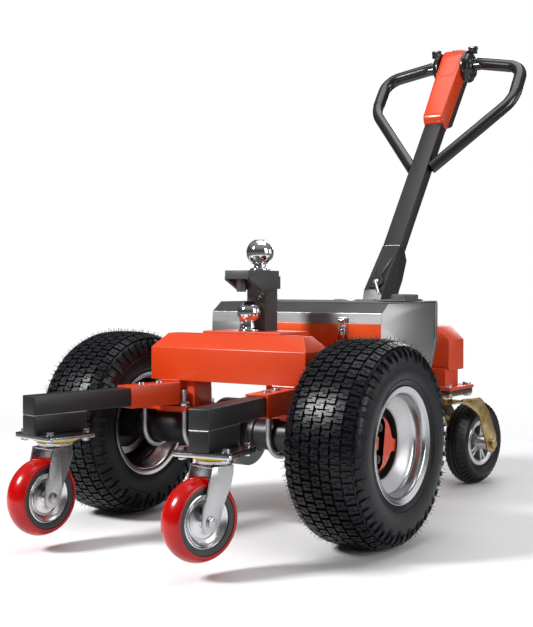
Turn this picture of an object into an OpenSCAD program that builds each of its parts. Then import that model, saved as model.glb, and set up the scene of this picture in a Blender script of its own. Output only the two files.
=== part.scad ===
// Walk-behind electric tug: two driven turf tyres, two swivel casters in front
// on sliding arms, two pneumatic casters behind, a post with two tow balls,
// a battery box and a tilting steering handle.
// Units are millimetres, Z is up, the balls face -Y, the operator stands at +Y.

/* [Drive wheels] */
// Outer diameter of a driven tyre
tyre_d = 406; // [380:1:430]
// Width of a driven tyre
tyre_w = 165; // [145:1:175]
// Distance between the middles of the two driven tyres
track = 627; // [620:1:680]
// Diameter over the rim flanges
rim_d = 228; // [215:1:240]
// Width over the rim flanges
rim_w = 151; // [140:1:156]
// Diameter of the circle of the wheel nuts
nut_circle = 62; // [58:1:66]
// Diameter of an axle shaft
shaft_d = 32; // [26:1:38]
// Outer diameter of the axle tube
axle_tube_d = 74; // [68:1:75]
// Outer diameter of the gearbox drum
drum_d = 138; // [136:1:146]
// Width of the gearbox drum
drum_w = 64; // [60:1:68]
// Diameter of a drive motor
motor_d = 84; // [70:1:84]
// Length of a drive motor
motor_l = 68; // [60:1:69]

/* [Front beam] */
// Length of the front beam across the machine
beam_l = 395; // [380:1:410]
// Depth of the front beam along the machine
beam_d = 93; // [88:1:104]
// Height of the front beam
beam_h = 99; // [90:1:110]
// Height of the underside of the front beam above the driven axle
beam_up = 104; // [102:1:117]
// Size of the chamfers along the top of the front beam
beam_chamfer = 30; // [20:1:34]

/* [Hitch] */
// Width of the square hitch post
post_w = 47; // [42:1:54]
// Height of the hitch post above its base
post_h = 111; // [100:1:130]
// Diameter of the upper tow ball
upper_ball_d = 58.7; // [50:0.1:62]
// Diameter of the lower tow ball
lower_ball_d = 50.8; // [44:0.1:54]
// Diameter of the shanks of both tow balls
shank_d = 24; // [20:1:28]

/* [Front arms] */
// Width of an arm tube
arm_w = 39; // [34:1:42]
// Height of an arm tube
arm_h = 37.4; // [34:0.1:40]
// Length of an arm tube in front of its sleeve
arm_out = 233.6; // [220:0.1:250]
// Angle at which each arm spreads outward
splay = 9.79; // [8:0.01:11]
// Wall of the sleeve that holds an arm
sleeve_wall = 4; // [3:0.5:5]

/* [Front casters] */
// Diameter of a front caster wheel
front_d = 150; // [140:1:156]
// Width of a front caster wheel
front_w = 50; // [44:1:54]
// Distance of a front caster axle behind its swivel axis
front_trail = 35; // [30:1:42]
// Side of the square mounting plates of the front casters
front_plate = 114; // [106:1:120]

/* [Rear beam] */
// Length of the rear beam across the machine
rear_l = 400; // [390:1:430]
// Depth of the rear beam along the machine
rear_d = 86; // [80:1:100]
// Height of the rear beam
rear_h = 108; // [100:1:120]

/* [Rear casters] */
// Diameter of a pneumatic rear caster wheel
rear_wheel_d = 213; // [200:1:216]
// Width of a rear caster tyre
rear_wheel_w = 64; // [58:1:68]
// Distance of a rear caster axle behind its swivel axis
rear_trail = 147; // [140:1:160]
// Thickness of the fork plate of a rear caster
fork_t = 5; // [4:0.5:6]

/* [Battery box] */
// Width of the battery box
box_w = 452; // [430:1:456]
// Length of the battery box
box_l = 273; // [260:1:276]
// Height of the battery box
box_h = 158; // [150:1:170]
// Thickness of the sheet of the box
sheet_t = 2; // [1.5:0.5:3]
// Diameter of the rotary power knob
knob_d = 62; // [50:1:66]

/* [Handle] */
// Width of the handle tube across the machine
handle_w = 50; // [44:1:54]
// Depth of the handle tube
handle_t = 32; // [28:1:38]
// Length of the handle from its hinge pin to the axis of the throttle
handle_l = 820.24; // [790:0.01:850]
// Diameter of the loop tube
loop_d = 35; // [30:1:38]
// Width of the loop handle between the middles of its tube
loop_w = 419; // [404:1:434]
// Backward lean of the handle at rest
lean = 35.3; // [30:0.1:40]
// Diameter of a throttle disc
throttle_d = 91; // [80:1:96]

/* [Hidden] */
$fn = 48;
eps = 0.02;
clear = 0.3;
run_gap = 0.05;
sleeve_gap = 0.1;
axle_z = tyre_d / 2;
beam_z = axle_z + beam_up;
wheel_x = track / 2;

// Wheel pieces
flange_t = 3;
lip_h = 12.4;
bead_r = rim_d / 2 - lip_h;
bead_shelf = 26;
well_drop = 10.6;
well_r = bead_r - well_drop;
rim_t = 3;
web_x = 4.5;
web_r = 58;
disc_t = 8;
dish_r = 70;
dish_x = 27;
dish_rise = 16;
disc_r = dish_r - clear;
cover_t = 10;
cover_body_r = 53;
cover_arm_r = 69;
cover_arm_w = 25;
cover_turn = -9;
recess_r = 18.5;
nut_r = 12;
nut_h = 9;
hub_r = 34;
hub_l = 62;
crown_t = 9;
side_t = 8;
tread_drop = 3;
shoulder_drop = 13;
shoulder_in = 32;

// Axle tubes and bearings
axle_tube_t = 6;
tube_end_x = 248;
neck_t = 10;
bearing_w = 14;

// Gears
gear_module = 2;
gear_teeth = 60;
pinion_teeth = 20;
gear_w = 14;
gear_x = 6;
tooth_gap = 0.4;
gear_y = gear_module * (gear_teeth + pinion_teeth) / 2;
pinion_r = gear_module * pinion_teeth / 2;
case_wall = 4.5;
case_r = drum_d / 2 - case_wall;
end_wall = 6;
lobe_r = pinion_r + gear_module + end_wall;
pinion_shaft_d = 12;

// Saddles and U-bolts
u_rod = 12;
u_mid_r = axle_tube_d / 2 + u_rod / 2 + clear;
u_in_x = 108;
u_out_x = 218;
u_top = 35;
plate_t = 9;
saddle_h = 64;
plate_z = beam_z - saddle_h;
plate_in_x = 94;
plate_out_x = 229;
plate_half_y = 56;
saddle_x = 92;
saddle_w = 80;
saddle_half_y = 45;
nut_flat_h = 9;
nut_m_r = 9.7;
cradle_half_y = 20;

// Hitch base and post
base_half_x = 100;
base_y = 10;
base_l = 107;
base_lip = 15;
base_t = 5;
base_top = beam_z + beam_h + base_t;
post_t = 4;
post_back = 3;
post_y = base_y + base_l - post_back - post_w;
ball_in = 15;
ball_low_y = post_y - lower_ball_d / 2 - clear;
ball_high_y = post_y + ball_in;
head_t = 18;
head_half_x = 30;
head_front = 71.5;
head_back = 3.4;
head_z = base_top + post_h;
cheek_t = 9;
cheek_out = 3;
cheek_low = 12;
cheek_step = 2;
cheek_drop = 24;
flange_h = 5;
flange_r = 22;
ball_neck_r = 13;
ball_neck = 10;
boss_y = 13;
boss_d = 20;
rail_x = 60;
rail_w = 30;
rail_drop = 7;
rail_z = beam_z - rail_drop;
rail_h = 40;
rail_t = 3;

// Front arm frame
mouth_x = 165.4;
mouth_y = -169.1;
arm_drop = 9;
arm_top = beam_z - arm_drop;
arm_in = 108;
arm_t = 3;
block_l = 124;
arm_bottom = arm_top - 2 * arm_h;
clamp_d = 16;
clamp_h = 8;
swivel_in = 62;
arm_plate_t = 6;
zinc_t = 4;
seal_t = 6;
seal_d = 85;
crown_h = 11;
crown_d = 70;
leg_r = 20;
leg_front = 31;
leg_back = 16.5;
fork_drop = 93.9;
front_axle_z = arm_bottom - arm_plate_t - zinc_t - seal_t - clear - crown_h - fork_drop;
front_angle = [13.9, -3.5];
swivel_x = mouth_x + (arm_out - swivel_in) * sin(splay);
swivel_y = mouth_y - (arm_out - swivel_in) * cos(splay);
leg_t = 4;
leg_gap = 3;
tread_t = 13;
crown_drop = 10;
axle_bolt_d = 12;
bolt_r = 7.5;
bolt_h = 6;
corner_r = 9;

// Rear beam, necks and rear casters
rear_y = 604;
rear_z = rail_z;
rear_chamfer_x = 35;
rear_chamfer_z = 34;
rear_room = 41;
rear_plate_z = rear_wheel_d + rear_room;
rear_plate_x = 116;
plate_inset = 1;
rear_mid_x = box_w / 2 - rear_plate_x / 2 - plate_inset;
rear_caster_in = 24;
rear_mid_y = rear_y + rear_caster_in;
neck_in = 27;
neck_x = rear_mid_x - neck_in;
neck_l = 56;
rear_plate_y = 134;
rear_plate_t = 8;
gasket_t = 8;
yellow_t = 6;
rear_angle = 8.8;
rear_axle_z = rear_wheel_d / 2;
fork_room = 24;
fork_half = rear_wheel_w / 2 + fork_room;
rear_hub_d = 117;
rear_axle_d = 16;
neck_post_d = 60;
neck_post_h = 16;

// Battery box
box_y = 210;
box_up = 15;
box_z = rail_z + box_up;
lid_lip = 24;
lid_slope = 33;
box_top = box_z + box_h;
lip_z = box_top - lid_slope * 0.727 - lid_lip;
slope_z = box_top - lid_slope * 0.727;
box_back = box_y + box_l;
back_z = box_z + box_h * 0.405;
tub_in = 32;
floor_z = rail_z + rail_h;
seal_h = 2;
hinge_l = 110;
hinge_r = 6;
latch_in = 94;
latch_x = box_w / 2 - latch_in;
knob_in = 43;
knob_x = box_w / 2 - knob_in;
knob_back = 81;
knob_y = box_back - knob_back;
knob_h = 12;
knob_base = 3;
knob_base_x = 86;
knob_base_y = 89;
post_knob_d = 14;
battery_l = 180;
battery_room = 61;
battery_w = box_w / 2 - battery_room;
battery_h = 110;

// Handle
hinge_in = 8;
hinge_y = rear_y + hinge_in;
hinge_up = 44;
hinge_z = rear_z + rear_h + hinge_up;
hinge_pin_d = 16;
foot_w = 52;
foot_r = 40;
bracket_t = 8;
loop_r = loop_d / 2;
loop_lean = 34.5;
head_w_top = 72;
head_w_low = 60;

// Smaller sizes of the pieces above
bolt_inset = 13;
rear_bolt_x = rear_plate_x / 2 - bolt_inset;
rear_bolt_y = rear_plate_y / 2 - bolt_inset;
saddle_in_y = 30;
nut_room = 1.3;
u_clear_x = u_in_x + nut_m_r + nut_room;
sleeve_len = 150;
sleeve_slack = 14;
plate_bolt_in = 15;
plate_bolt_at = front_plate / 2 - plate_bolt_in;
bolt_d = 10;
hinge_at_y = box_back + hinge_r;
hinge_at_z = box_top - sheet_t * 2;
hinge_pin_r = 2.5;
hinge_mid = hinge_l / 3;
latch_w = 24;
catch_t = 3.5;
latch_h = 44;
latch_pin_r = 2;
latch_wire = 3;
latch_gap = 2.5;
latch_z = lip_z - latch_h;
pin_room = 1;
latch_pin_y = box_y - catch_t - latch_pin_r - pin_room;
latch_pin_z = latch_z + latch_pin_r * 2;
foot_h = 160;
foot_shares = [[-0.24, 0.05], [-0.181, 0.281], [0.4375, 1], [0.6, 0.884], [0.656, 0.756], [0.506, 0.425],
  [0.4, 0.275], [0.225, -0.1]];
arm_y = hinge_y + foot_h * foot_shares[2][0];
arm_z = hinge_z + foot_h;
tube_t = 3;
head_l = 270;
throttle_s = 225;
loop_s = handle_l - throttle_s - foot_h * norm(foot_shares[2]);
tube_in = 49.4;
tube_l = loop_s + tube_in;
front_y = 35;
lower_y = 12;
back_y = 38;
face_lean = 40.7;
lever_share = 0.42;
ring_d = 43;
ring_t = 6;
lever_d = 8;
lever_l = 56;
lever_turn = 31;
turn_a = 39.07;
turn_b = 76;
bend_a = 90;
bend_b = 50;
loop_x = loop_w / 2;
low_x = 33;
low_s = -139;
corner_a = low_s + (loop_x - low_x) / tan(turn_a);
side_l = 120;
corner_b = corner_a + side_l;
grip_x = 68;
button_w = 34;
button_t = 20;
button_in = 14;
button_out = 9;
paddle_turn = 40;
paddle_l = 24;
paddle_w = 27;
disc_x = head_w_top / 2 + clear;
disc_w = 22;

// Reach of the whole machine, used to put the origin at the middle
front_reach = swivel_y - front_trail * cos(front_angle[1]) - front_d / 2
  + front_w * 0.12 * sin(front_angle[1]);
back_reach = arm_y + loop_s * sin(lean) + handle_t / 2 * cos(lean)
  + throttle_s * sin(loop_lean) + throttle_d / 2;
mid_y = (front_reach + back_reach) / 2;

module at_origin() {
  translate([0, -mid_y, 0]) children();
}

module both() {
  children();
  mirror([1, 0, 0]) children();
}

// Bar with its axis along X from x0 over a length
module bar_x(x0, r, len) {
  translate([x0, 0, 0]) rotate([0, 90, 0]) cylinder(r = r, h = len);
}

module hex(r, h) {
  cylinder(r = r, h = h, $fn = 6);
}

module block(x0, x1, y0, y1, z0, z1) {
  translate([x0, y0, z0]) cube([x1 - x0, y1 - y0, z1 - z0]);
}

module front_beam_outline() {
  polygon([[-beam_d / 2, beam_z], [beam_d / 2, beam_z], [beam_d / 2, beam_z + beam_h - beam_chamfer],
    [beam_d / 2 - beam_chamfer, beam_z + beam_h], [beam_chamfer - beam_d / 2, beam_z + beam_h],
    [-beam_d / 2, beam_z + beam_h - beam_chamfer]]);
}

module front_beam() {
  end_cut = beam_chamfer * 0.8;
  wall = base_t;
  color("orangered") at_origin() {
    difference() {
      intersection() {
        translate([-beam_l / 2, 0, 0]) rotate([90, 0, 90]) linear_extrude(height = beam_l)
          front_beam_outline();
        translate([0, beam_d / 2, 0]) rotate([90, 0, 0]) linear_extrude(height = beam_d)
          polygon([[-beam_l / 2, beam_z], [beam_l / 2, beam_z], [beam_l / 2,
            beam_z + beam_h - beam_chamfer],
            [beam_l / 2 - end_cut, beam_z + beam_h], [end_cut - beam_l / 2, beam_z + beam_h],
            [-beam_l / 2, beam_z + beam_h - beam_chamfer]]);
      }
      block(wall - beam_l / 2, beam_l / 2 - wall, wall - beam_d / 2, beam_d / 2 - wall,
        beam_z + wall, beam_z + beam_h - beam_chamfer);
      translate([0, ball_low_y, base_top - base_lip - cheek_drop]) cylinder(r = boss_d,
        h = base_lip + cheek_drop);
    }
    difference() {
      union() {
        block(-base_half_x, base_half_x, base_y, base_y + base_l, base_top - base_lip, base_top);
        translate([0, ball_low_y, base_top - base_lip - cheek_drop]) cylinder(r = boss_d,
          h = base_lip + cheek_drop);
      }
      translate([0, ball_low_y, base_top - base_lip - cheek_drop + flange_h])
        cylinder(d = shank_d + clear, h = base_lip + cheek_drop);
      block(-base_half_x + base_t, -boss_d, beam_d / 2, base_y + base_l - base_t,
        base_top - base_lip - eps, base_top - base_t);
      block(boss_d, base_half_x - base_t, beam_d / 2, base_y + base_l - base_t,
        base_top - base_lip - eps, base_top - base_t);
    }
    both() block(rail_x - rail_t, rail_x + rail_t, beam_d / 2, base_y + base_l,
      rail_z + rail_h, base_top - base_t);
  }
}

module rear_beam() {
  wall = base_t;
  color("orangered") at_origin() {
    difference() {
      translate([0, rear_y + rear_d, 0]) rotate([90, 0, 0]) linear_extrude(height = rear_d)
        polygon([[-rear_l / 2, rear_z], [rear_l / 2, rear_z],
          [rear_l / 2, rear_z + rear_h - rear_chamfer_z],
          [rear_l / 2 - rear_chamfer_x, rear_z + rear_h], [rear_chamfer_x - rear_l / 2, rear_z + rear_h],
          [-rear_l / 2, rear_z + rear_h - rear_chamfer_z]]);
      block(wall - rear_l / 2, rear_l / 2 - wall, rear_y + wall, rear_y + rear_d - wall,
        rear_z + wall, rear_z + rear_h - rear_chamfer_z);
    }
    both() {
      difference() {
        block(rail_x - rail_w / 2, rail_x + rail_w / 2, beam_d / 2, rear_y, rail_z, rail_z + rail_h);
        block(rail_x - rail_w / 2 + rail_t, rail_x + rail_w / 2 - rail_t, beam_d / 2 - eps, rear_y + eps,
          rail_z + rail_t, rail_z + rail_h - rail_t);
      }
      block(neck_x, neck_x + neck_l, rear_y - neck_t, rear_y, rear_plate_z, rear_z + wall);
      block(neck_x, neck_x + neck_l, rear_y - clear, rear_y + rear_d - rear_caster_in, rear_plate_z,
        rear_z + wall / 2);
      rear_place() difference() {
        rear_flat(rear_plate_z, rear_plate_t);
        rear_holes(rear_plate_z, rear_plate_t);
      }
    }
  }
}

module rear_place() {
  translate([rear_mid_x, rear_mid_y, 0]) children();
}

module rear_flat(z, t) {
  block(-rear_plate_x / 2, rear_plate_x / 2, -rear_plate_y / 2, rear_plate_y / 2, z, z + t);
}

module rear_holes(z, t) {
  for (i = [-1, 1], j = [-1, 1])
    translate([i * rear_bolt_x, j * rear_bolt_y, z - eps]) cylinder(d = axle_bolt_d + clear,
      h = t + 2 * eps);
}

module rear_caster_plates() {
  yellow_z = rear_plate_z - gasket_t - yellow_t;
  color("goldenrod") at_origin() both() rear_place() difference() {
    rear_flat(yellow_z, gasket_t + yellow_t);
    rear_holes(yellow_z, gasket_t + yellow_t);
    translate([0, 0, yellow_z - eps]) cylinder(d = neck_post_d / 2 + 2 * run_gap, h = yellow_t + clear);
  }
}

module saddles() {
  color("orangered") at_origin() both() {
    linear_z(plate_z + plate_t, beam_z) polygon([[saddle_x, -saddle_in_y], [u_clear_x, -saddle_in_y],
      [u_clear_x, -saddle_half_y], [saddle_x + saddle_w, -saddle_half_y], [saddle_x + saddle_w,
        saddle_half_y],
      [u_clear_x, saddle_half_y], [u_clear_x, saddle_in_y], [saddle_x, saddle_in_y]]);
    difference() {
      block(plate_in_x, plate_out_x, -plate_half_y, plate_half_y, plate_z, plate_z + plate_t);
      for (x = [u_in_x, u_out_x], j = [-1, 1])
        translate([x, j * u_mid_r, plate_z - eps]) cylinder(d = u_rod + clear, h = plate_t + 2 * eps);
    }
    difference() {
      block(u_in_x + u_rod, u_out_x - u_rod, -cradle_half_y, cradle_half_y,
        axle_z + axle_tube_d / 4, plate_z);
      translate([0, 0, axle_z]) bar_x(u_in_x, axle_tube_d / 2, u_out_x - u_in_x);
    }
    difference() {
      arm_frame(1) block(-arm_w / 2 - sleeve_wall, arm_w / 2 + sleeve_wall, 0, sleeve_len,
        arm_top - arm_h - sleeve_wall, arm_top + sleeve_wall);
      arm_frame(1) block(-arm_w / 2 - sleeve_gap, arm_w / 2 + sleeve_gap, -eps, arm_in + sleeve_slack,
        arm_top - arm_h - sleeve_gap, arm_top + sleeve_gap);
      block(0, saddle_x + 2 * saddle_w, -saddle_half_y, saddle_half_y, arm_bottom, beam_z);
    }
  }
}

module linear_z(z0, z1) {
  translate([0, 0, z0]) linear_extrude(height = z1 - z0) children();
}

module arm_frame(side) {
  translate([side * mouth_x, mouth_y, 0]) rotate([0, 0, side * splay]) children();
}

module u_bolts() {
  color("silver") at_origin() both() for (x = [u_in_x, u_out_x]) translate([x, 0, axle_z]) {
    for (j = [-1, 1]) translate([0, j * u_mid_r, 0])
      cylinder(d = u_rod, h = plate_z + plate_t + u_top - axle_z);
    rotate([90, 0, 90]) rotate([0, 0, 180]) rotate_extrude(angle = 180) translate([u_mid_r, 0])
      circle(d = u_rod);
  }
}

module axle_tubes() {
  inner = axle_tube_d / 2 - axle_tube_t;
  color("dimgray") at_origin() translate([0, 0, axle_z]) both() difference() {
    bar_x(drum_w / 2, axle_tube_d / 2, tube_end_x - drum_w / 2);
    bar_x(drum_w / 2 + bearing_w, inner, tube_end_x - drum_w / 2 - 2 * bearing_w);
    bar_x(drum_w / 2 - eps, shaft_d / 2 + run_gap, tube_end_x);
  }
}

module case_outline(grow) {
  circle(r = case_r + grow);
  translate([gear_y, 0]) circle(r = lobe_r + grow);
  polygon([[0, -case_r * 0.7 - grow], [gear_y, -lobe_r - grow], [gear_y, lobe_r + grow], [0,
    case_r * 0.7 + grow]]);
}

module along_x(x0, x1) {
  translate([x0, 0, axle_z]) rotate([90, 0, 90]) linear_extrude(height = x1 - x0) children();
}

module shaft_holes() {
  circle(d = shaft_d + 2 * clear);
  translate([gear_y, 0]) circle(r = pinion_shaft_d / 2 + run_gap);
}

module gearbox_case() {
  x1 = drum_w / 2;
  color("dimgray") at_origin() {
    along_x(end_wall - x1, x1 - end_wall) difference() {
      case_outline(case_wall);
      case_outline(0);
    }
    along_x(-x1, end_wall - x1) difference() {
      case_outline(case_wall);
      shaft_holes();
    }
  }
}

module gearbox_cover() {
  x1 = drum_w / 2;
  color("black") at_origin() along_x(x1 - end_wall, x1) difference() {
    case_outline(case_wall);
    shaft_holes();
  }
}

module motors() {
  color("darkslategray") at_origin() both() along_x(drum_w / 2, drum_w / 2 + motor_l)
    translate([gear_y, 0])
    difference() {
      circle(d = motor_d);
      circle(r = pinion_shaft_d / 2 + clear);
    }
}

module gear_outline(teeth, turn) {
  pitch_r = gear_module * teeth / 2;
  half_w = gear_module * 3.1416 / 4 - tooth_gap / 2;
  circle(r = pitch_r - gear_module * 1.25);
  for (i = [0 : teeth - 1]) rotate([0, 0, (i + turn) * 360 / teeth])
    polygon([[pitch_r - gear_module * 1.5, -half_w * 1.35], [pitch_r + gear_module * 0.9, -half_w * 0.5],
      [pitch_r + gear_module * 0.9, half_w * 0.5], [pitch_r - gear_module * 1.5, half_w * 1.35]]);
}

module axle_shaft(side) {
  wheel_end = wheel_x + web_x + disc_t;
  color("silver") at_origin() mirror([side > 0 ? 0 : 1, 0, 0]) {
    along_x(gear_x, gear_x + gear_w) gear_outline(gear_teeth, 0);
    along_x(gear_x + gear_w, wheel_end) circle(d = shaft_d);
  }
}

module axle_shaft_left() {
  axle_shaft(1);
}

module axle_shaft_right() {
  axle_shaft(-1);
}

module pinion(side) {
  color("gray") at_origin() mirror([side > 0 ? 0 : 1, 0, 0]) translate([0, gear_y, 0]) {
    along_x(gear_x, gear_x + gear_w) gear_outline(pinion_teeth, 0.5);
    along_x(gear_x + gear_w, drum_w / 2 + motor_l - end_wall) circle(d = pinion_shaft_d);
  }
}

module pinion_left() {
  pinion(1);
}

module pinion_right() {
  pinion(-1);
}

// Frame of a driven wheel: local z runs outward along the axle
module wheel_frame(side) {
  mirror([side > 0 ? 0 : 1, 0, 0]) translate([wheel_x, 0, axle_z]) rotate([90, 0, 90]) children();
}

module tyre(side) {
  r = tyre_d / 2;
  hw = tyre_w / 2;
  bead_x = rim_w / 2 - flange_t;
  wall_r = (r + bead_r) / 2;
  color("black") at_origin() wheel_frame(side) rotate_extrude($fn = 96) polygon([
    [bead_r, bead_x], [rim_d / 2, bead_x], [rim_d / 2 + flange_t, bead_x + flange_t],
    [wall_r, hw], [r - shoulder_in, hw], [r - shoulder_in * 0.66, hw * 0.945],
    [r - shoulder_drop, hw * 0.87], [r - tread_drop, hw * 0.6], [r, hw * 0.3],
    [r, -hw * 0.3], [r - tread_drop, -hw * 0.6], [r - shoulder_drop, -hw * 0.87],
    [r - shoulder_in * 0.66, -hw * 0.945], [r - shoulder_in, -hw], [wall_r, -hw],
    [rim_d / 2 + flange_t, -bead_x - flange_t], [rim_d / 2, -bead_x], [bead_r, -bead_x],
    [bead_r, side_t * 1.6 - bead_x], [rim_d / 2 + flange_t, side_t - bead_x], [wall_r, side_t - hw],
    [r - shoulder_in - crown_t * 0.66, side_t - hw], [r - shoulder_drop - crown_t * 1.35, -hw * 0.82],
    [r - tread_drop - crown_t, -hw * 0.57], [r - crown_t, -hw * 0.3], [r - crown_t, hw * 0.3],
    [r - tread_drop - crown_t, hw * 0.57], [r - shoulder_drop - crown_t * 1.35, hw * 0.82],
    [r - shoulder_in - crown_t * 0.66, hw - side_t], [wall_r, hw - side_t],
    [rim_d / 2 + flange_t, bead_x - side_t],
    [bead_r, bead_x - side_t * 1.6]]);
}

module tyre_left() {
  tyre(1);
}

module tyre_right() {
  tyre(-1);
}

module rim(side) {
  x1 = rim_w / 2;
  x2 = x1 - bead_shelf;
  well_x = web_x - disc_t;
  color("silver") at_origin() wheel_frame(side) rotate_extrude($fn = 96) polygon([
    [rim_d / 2, x1], [rim_d / 2, x1 - flange_t], [bead_r, x1 - flange_t], [bead_r, x2],
    [well_r, x2 - rim_t], [well_r, rim_t - x2], [bead_r, -x2], [bead_r, flange_t - x1],
    [rim_d / 2, flange_t - x1], [rim_d / 2, -x1], [bead_r, -x1], [bead_r - rim_t, flange_t - x1],
    [bead_r - rim_t, -x2], [well_r - rim_t, rim_t - x2], [well_r - rim_t, dish_x + dish_rise / 2],
    [dish_r + rim_t, dish_x - rim_t], [dish_r + rim_t, well_x], [web_r, well_x], [web_r, web_x],
    [dish_r, web_x], [dish_r, dish_x], [well_r - rim_t, dish_x + dish_rise],
    [well_r - rim_t, x2 - rim_t],
    [bead_r - rim_t, x2], [bead_r - rim_t, x1 - flange_t], [bead_r, x1]]);
}

module rim_left() {
  rim(1);
}

module rim_right() {
  rim(-1);
}

module nut_places() {
  for (i = [-1, 1]) rotate([0, 0, cover_turn + i * 90]) translate([nut_circle / 2, 0, 0]) children();
}

module hub(side) {
  color("dimgray") at_origin() wheel_frame(side) {
    difference() {
      union() {
        translate([0, 0, web_x]) cylinder(r = disc_r, h = disc_t, $fn = 96);
        translate([0, 0, web_x - hub_l]) cylinder(r = hub_r, h = hub_l);
      }
      translate([0, 0, web_x - hub_l - eps]) cylinder(d = shaft_d + eps, h = hub_l + disc_t + 2 * eps);
    }
    nut_places() translate([0, 0, web_x + disc_t]) hex(nut_r, nut_h);
  }
}

module hub_left() {
  hub(1);
}

module hub_right() {
  hub(-1);
}

module hub_cover(side) {
  color("orangered") at_origin() wheel_frame(side) translate([0, 0, web_x + disc_t])
    linear_extrude(height = cover_t) difference() {
      union() {
        circle(r = cover_body_r);
        for (i = [0, 1]) rotate([0, 0, cover_turn + i * 180]) polygon([
          [cover_body_r * 0.82, -cover_arm_w], [cover_body_r, -cover_arm_w * 0.62],
          [cover_body_r * 1.1, -cover_arm_w / 2], [cover_arm_r, -cover_arm_w / 2],
          [cover_arm_r, cover_arm_w / 2], [cover_body_r * 1.1, cover_arm_w / 2],
          [cover_body_r, cover_arm_w * 0.62], [cover_body_r * 0.82, cover_arm_w]]);
      }
      nut_places() circle(r = recess_r);
    }
}

module hub_cover_left() {
  hub_cover(1);
}

module hub_cover_right() {
  hub_cover(-1);
}

// Ball with its flange, neck and shank; the shank runs down from the seat
module tow_ball(d, flange_z, centre_z, shank) {
  top_cut = d * 0.46;
  difference() {
    union() {
      translate([0, 0, centre_z]) sphere(d = d, $fn = 64);
      translate([0, 0, flange_z]) cylinder(r = ball_neck_r, h = centre_z - flange_z);
      translate([0, 0, flange_z]) cylinder(r = flange_r, h = flange_h);
      translate([0, 0, flange_z - shank]) cylinder(d = shank_d, h = shank);
    }
    translate([0, 0, centre_z + top_cut]) cylinder(d = d, h = d);
  }
}

module lower_ball() {
  color("silver") at_origin() translate([0, ball_low_y, 0])
    tow_ball(lower_ball_d, base_top, base_top + flange_h + ball_neck + lower_ball_d / 2,
      base_lip + cheek_drop / 2);
}

module upper_ball() {
  seat = head_z + head_t;
  color("silver") at_origin() translate([0, ball_high_y, 0])
    tow_ball(upper_ball_d, seat, seat + ball_neck + upper_ball_d / 2, head_t);
}

module hitch_post() {
  y0 = post_y;
  y1 = post_y + post_w;
  cheek_x = head_half_x + cheek_out;
  color("black") at_origin() {
    difference() {
      block(-post_w / 2, post_w / 2, y0, y1, base_top, head_z);
      block(post_t - post_w / 2, post_w / 2 - post_t, y0 + post_t, y1 - post_t, base_top - eps,
        head_z + eps);
    }
    difference() {
      block(-head_half_x, head_half_x, y0 - head_front, y1 - head_back, head_z, head_z + head_t);
      translate([0, ball_high_y, head_z - eps]) cylinder(d = shank_d + clear, h = head_t + 2 * eps);
    }
    both() translate([cheek_x - cheek_t, 0, 0]) rotate([90, 0, 90]) linear_extrude(height = cheek_t)
      polygon([[y0 - head_front + cheek_out, head_z + head_t - cheek_low],
        [y0 - head_front + cheek_out, head_z - cheek_step], [y0 - cheek_drop, head_z - cheek_drop],
        [y1 - cheek_step, head_z - cheek_drop + cheek_out],
        [y1 - cheek_step, head_z + head_t - cheek_low]]);
    translate([0, boss_y, head_z - cheek_drop - cheek_out]) cylinder(d = boss_d, h = cheek_drop + cheek_out);
  }
}

module front_arm(side) {
  color("black") at_origin() arm_frame(side) {
    difference() {
      block(-arm_w / 2, arm_w / 2, -arm_out, arm_in, arm_top - arm_h, arm_top);
      block(arm_t - arm_w / 2, arm_w / 2 - arm_t, arm_t - arm_out, arm_in + eps,
        arm_top - arm_h + arm_t, arm_top - arm_t);
    }
    difference() {
      block(-arm_w / 2, arm_w / 2, -arm_out, block_l - arm_out, arm_bottom, arm_top - arm_h);
      block(arm_t - arm_w / 2, arm_w / 2 - arm_t, arm_t - arm_out, block_l - arm_out - arm_t,
        arm_bottom + arm_t, arm_top - arm_h - arm_t);
    }
    swivel_place() difference() {
      plate_block(arm_bottom - arm_plate_t, arm_plate_t);
      plate_holes(arm_bottom - arm_plate_t, arm_plate_t);
    }
  }
}

module swivel_place() {
  translate([0, swivel_in - arm_out, 0]) children();
}

module plate_block(z, t) {
  h = front_plate / 2;
  linear_z(z, z + t) {
    square([front_plate - 2 * corner_r, front_plate], center = true);
    square([front_plate, front_plate - 2 * corner_r], center = true);
    for (i = [-1, 1], j = [-1, 1]) translate([i * (h - corner_r), j * (h - corner_r)])
      circle(r = corner_r);
  }
}

module plate_holes(z, t) {
  for (i = [-1, 1], j = [-1, 1]) translate([i * plate_bolt_at, j * plate_bolt_at, z - eps])
    cylinder(d = bolt_d + clear, h = t + 2 * eps);
}

module front_arm_left() {
  front_arm(1);
}

module front_arm_right() {
  front_arm(-1);
}

module front_plate_parts(side) {
  z0 = arm_bottom - arm_plate_t - zinc_t;
  color("silver") at_origin() arm_frame(side) swivel_place() {
    difference() {
      plate_block(z0, zinc_t);
      plate_holes(z0, zinc_t);
    }
    translate([0, 0, z0 - seal_t]) difference() {
      cylinder(d = seal_d, h = seal_t);
      translate([0, 0, -eps]) cylinder(d = seal_d / 3 + 2 * run_gap, h = seal_t - arm_t / 3);
    }
    for (i = [-1, 1], j = [-1, 1]) translate([i * plate_bolt_at, j * plate_bolt_at, 0]) {
      translate([0, 0, z0 - bolt_h]) hex(bolt_r, bolt_h);
      translate([0, 0, z0]) cylinder(d = bolt_d, h = arm_plate_t + zinc_t);
      translate([0, 0, arm_bottom]) hex(bolt_r, bolt_h);
    }
  }
}

module front_plate_left() {
  front_plate_parts(1);
}

module front_plate_right() {
  front_plate_parts(-1);
}

module front_swivel(side) {
  translate([side * swivel_x, swivel_y, 0]) rotate([0, 0,
    side > 0 ? -front_angle[0] : front_angle[1]]) children();
}

module front_wheel(side) {
  front_swivel(side) translate([0, -front_trail, front_axle_z]) rotate([90, 0, 90]) children();
}

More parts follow.
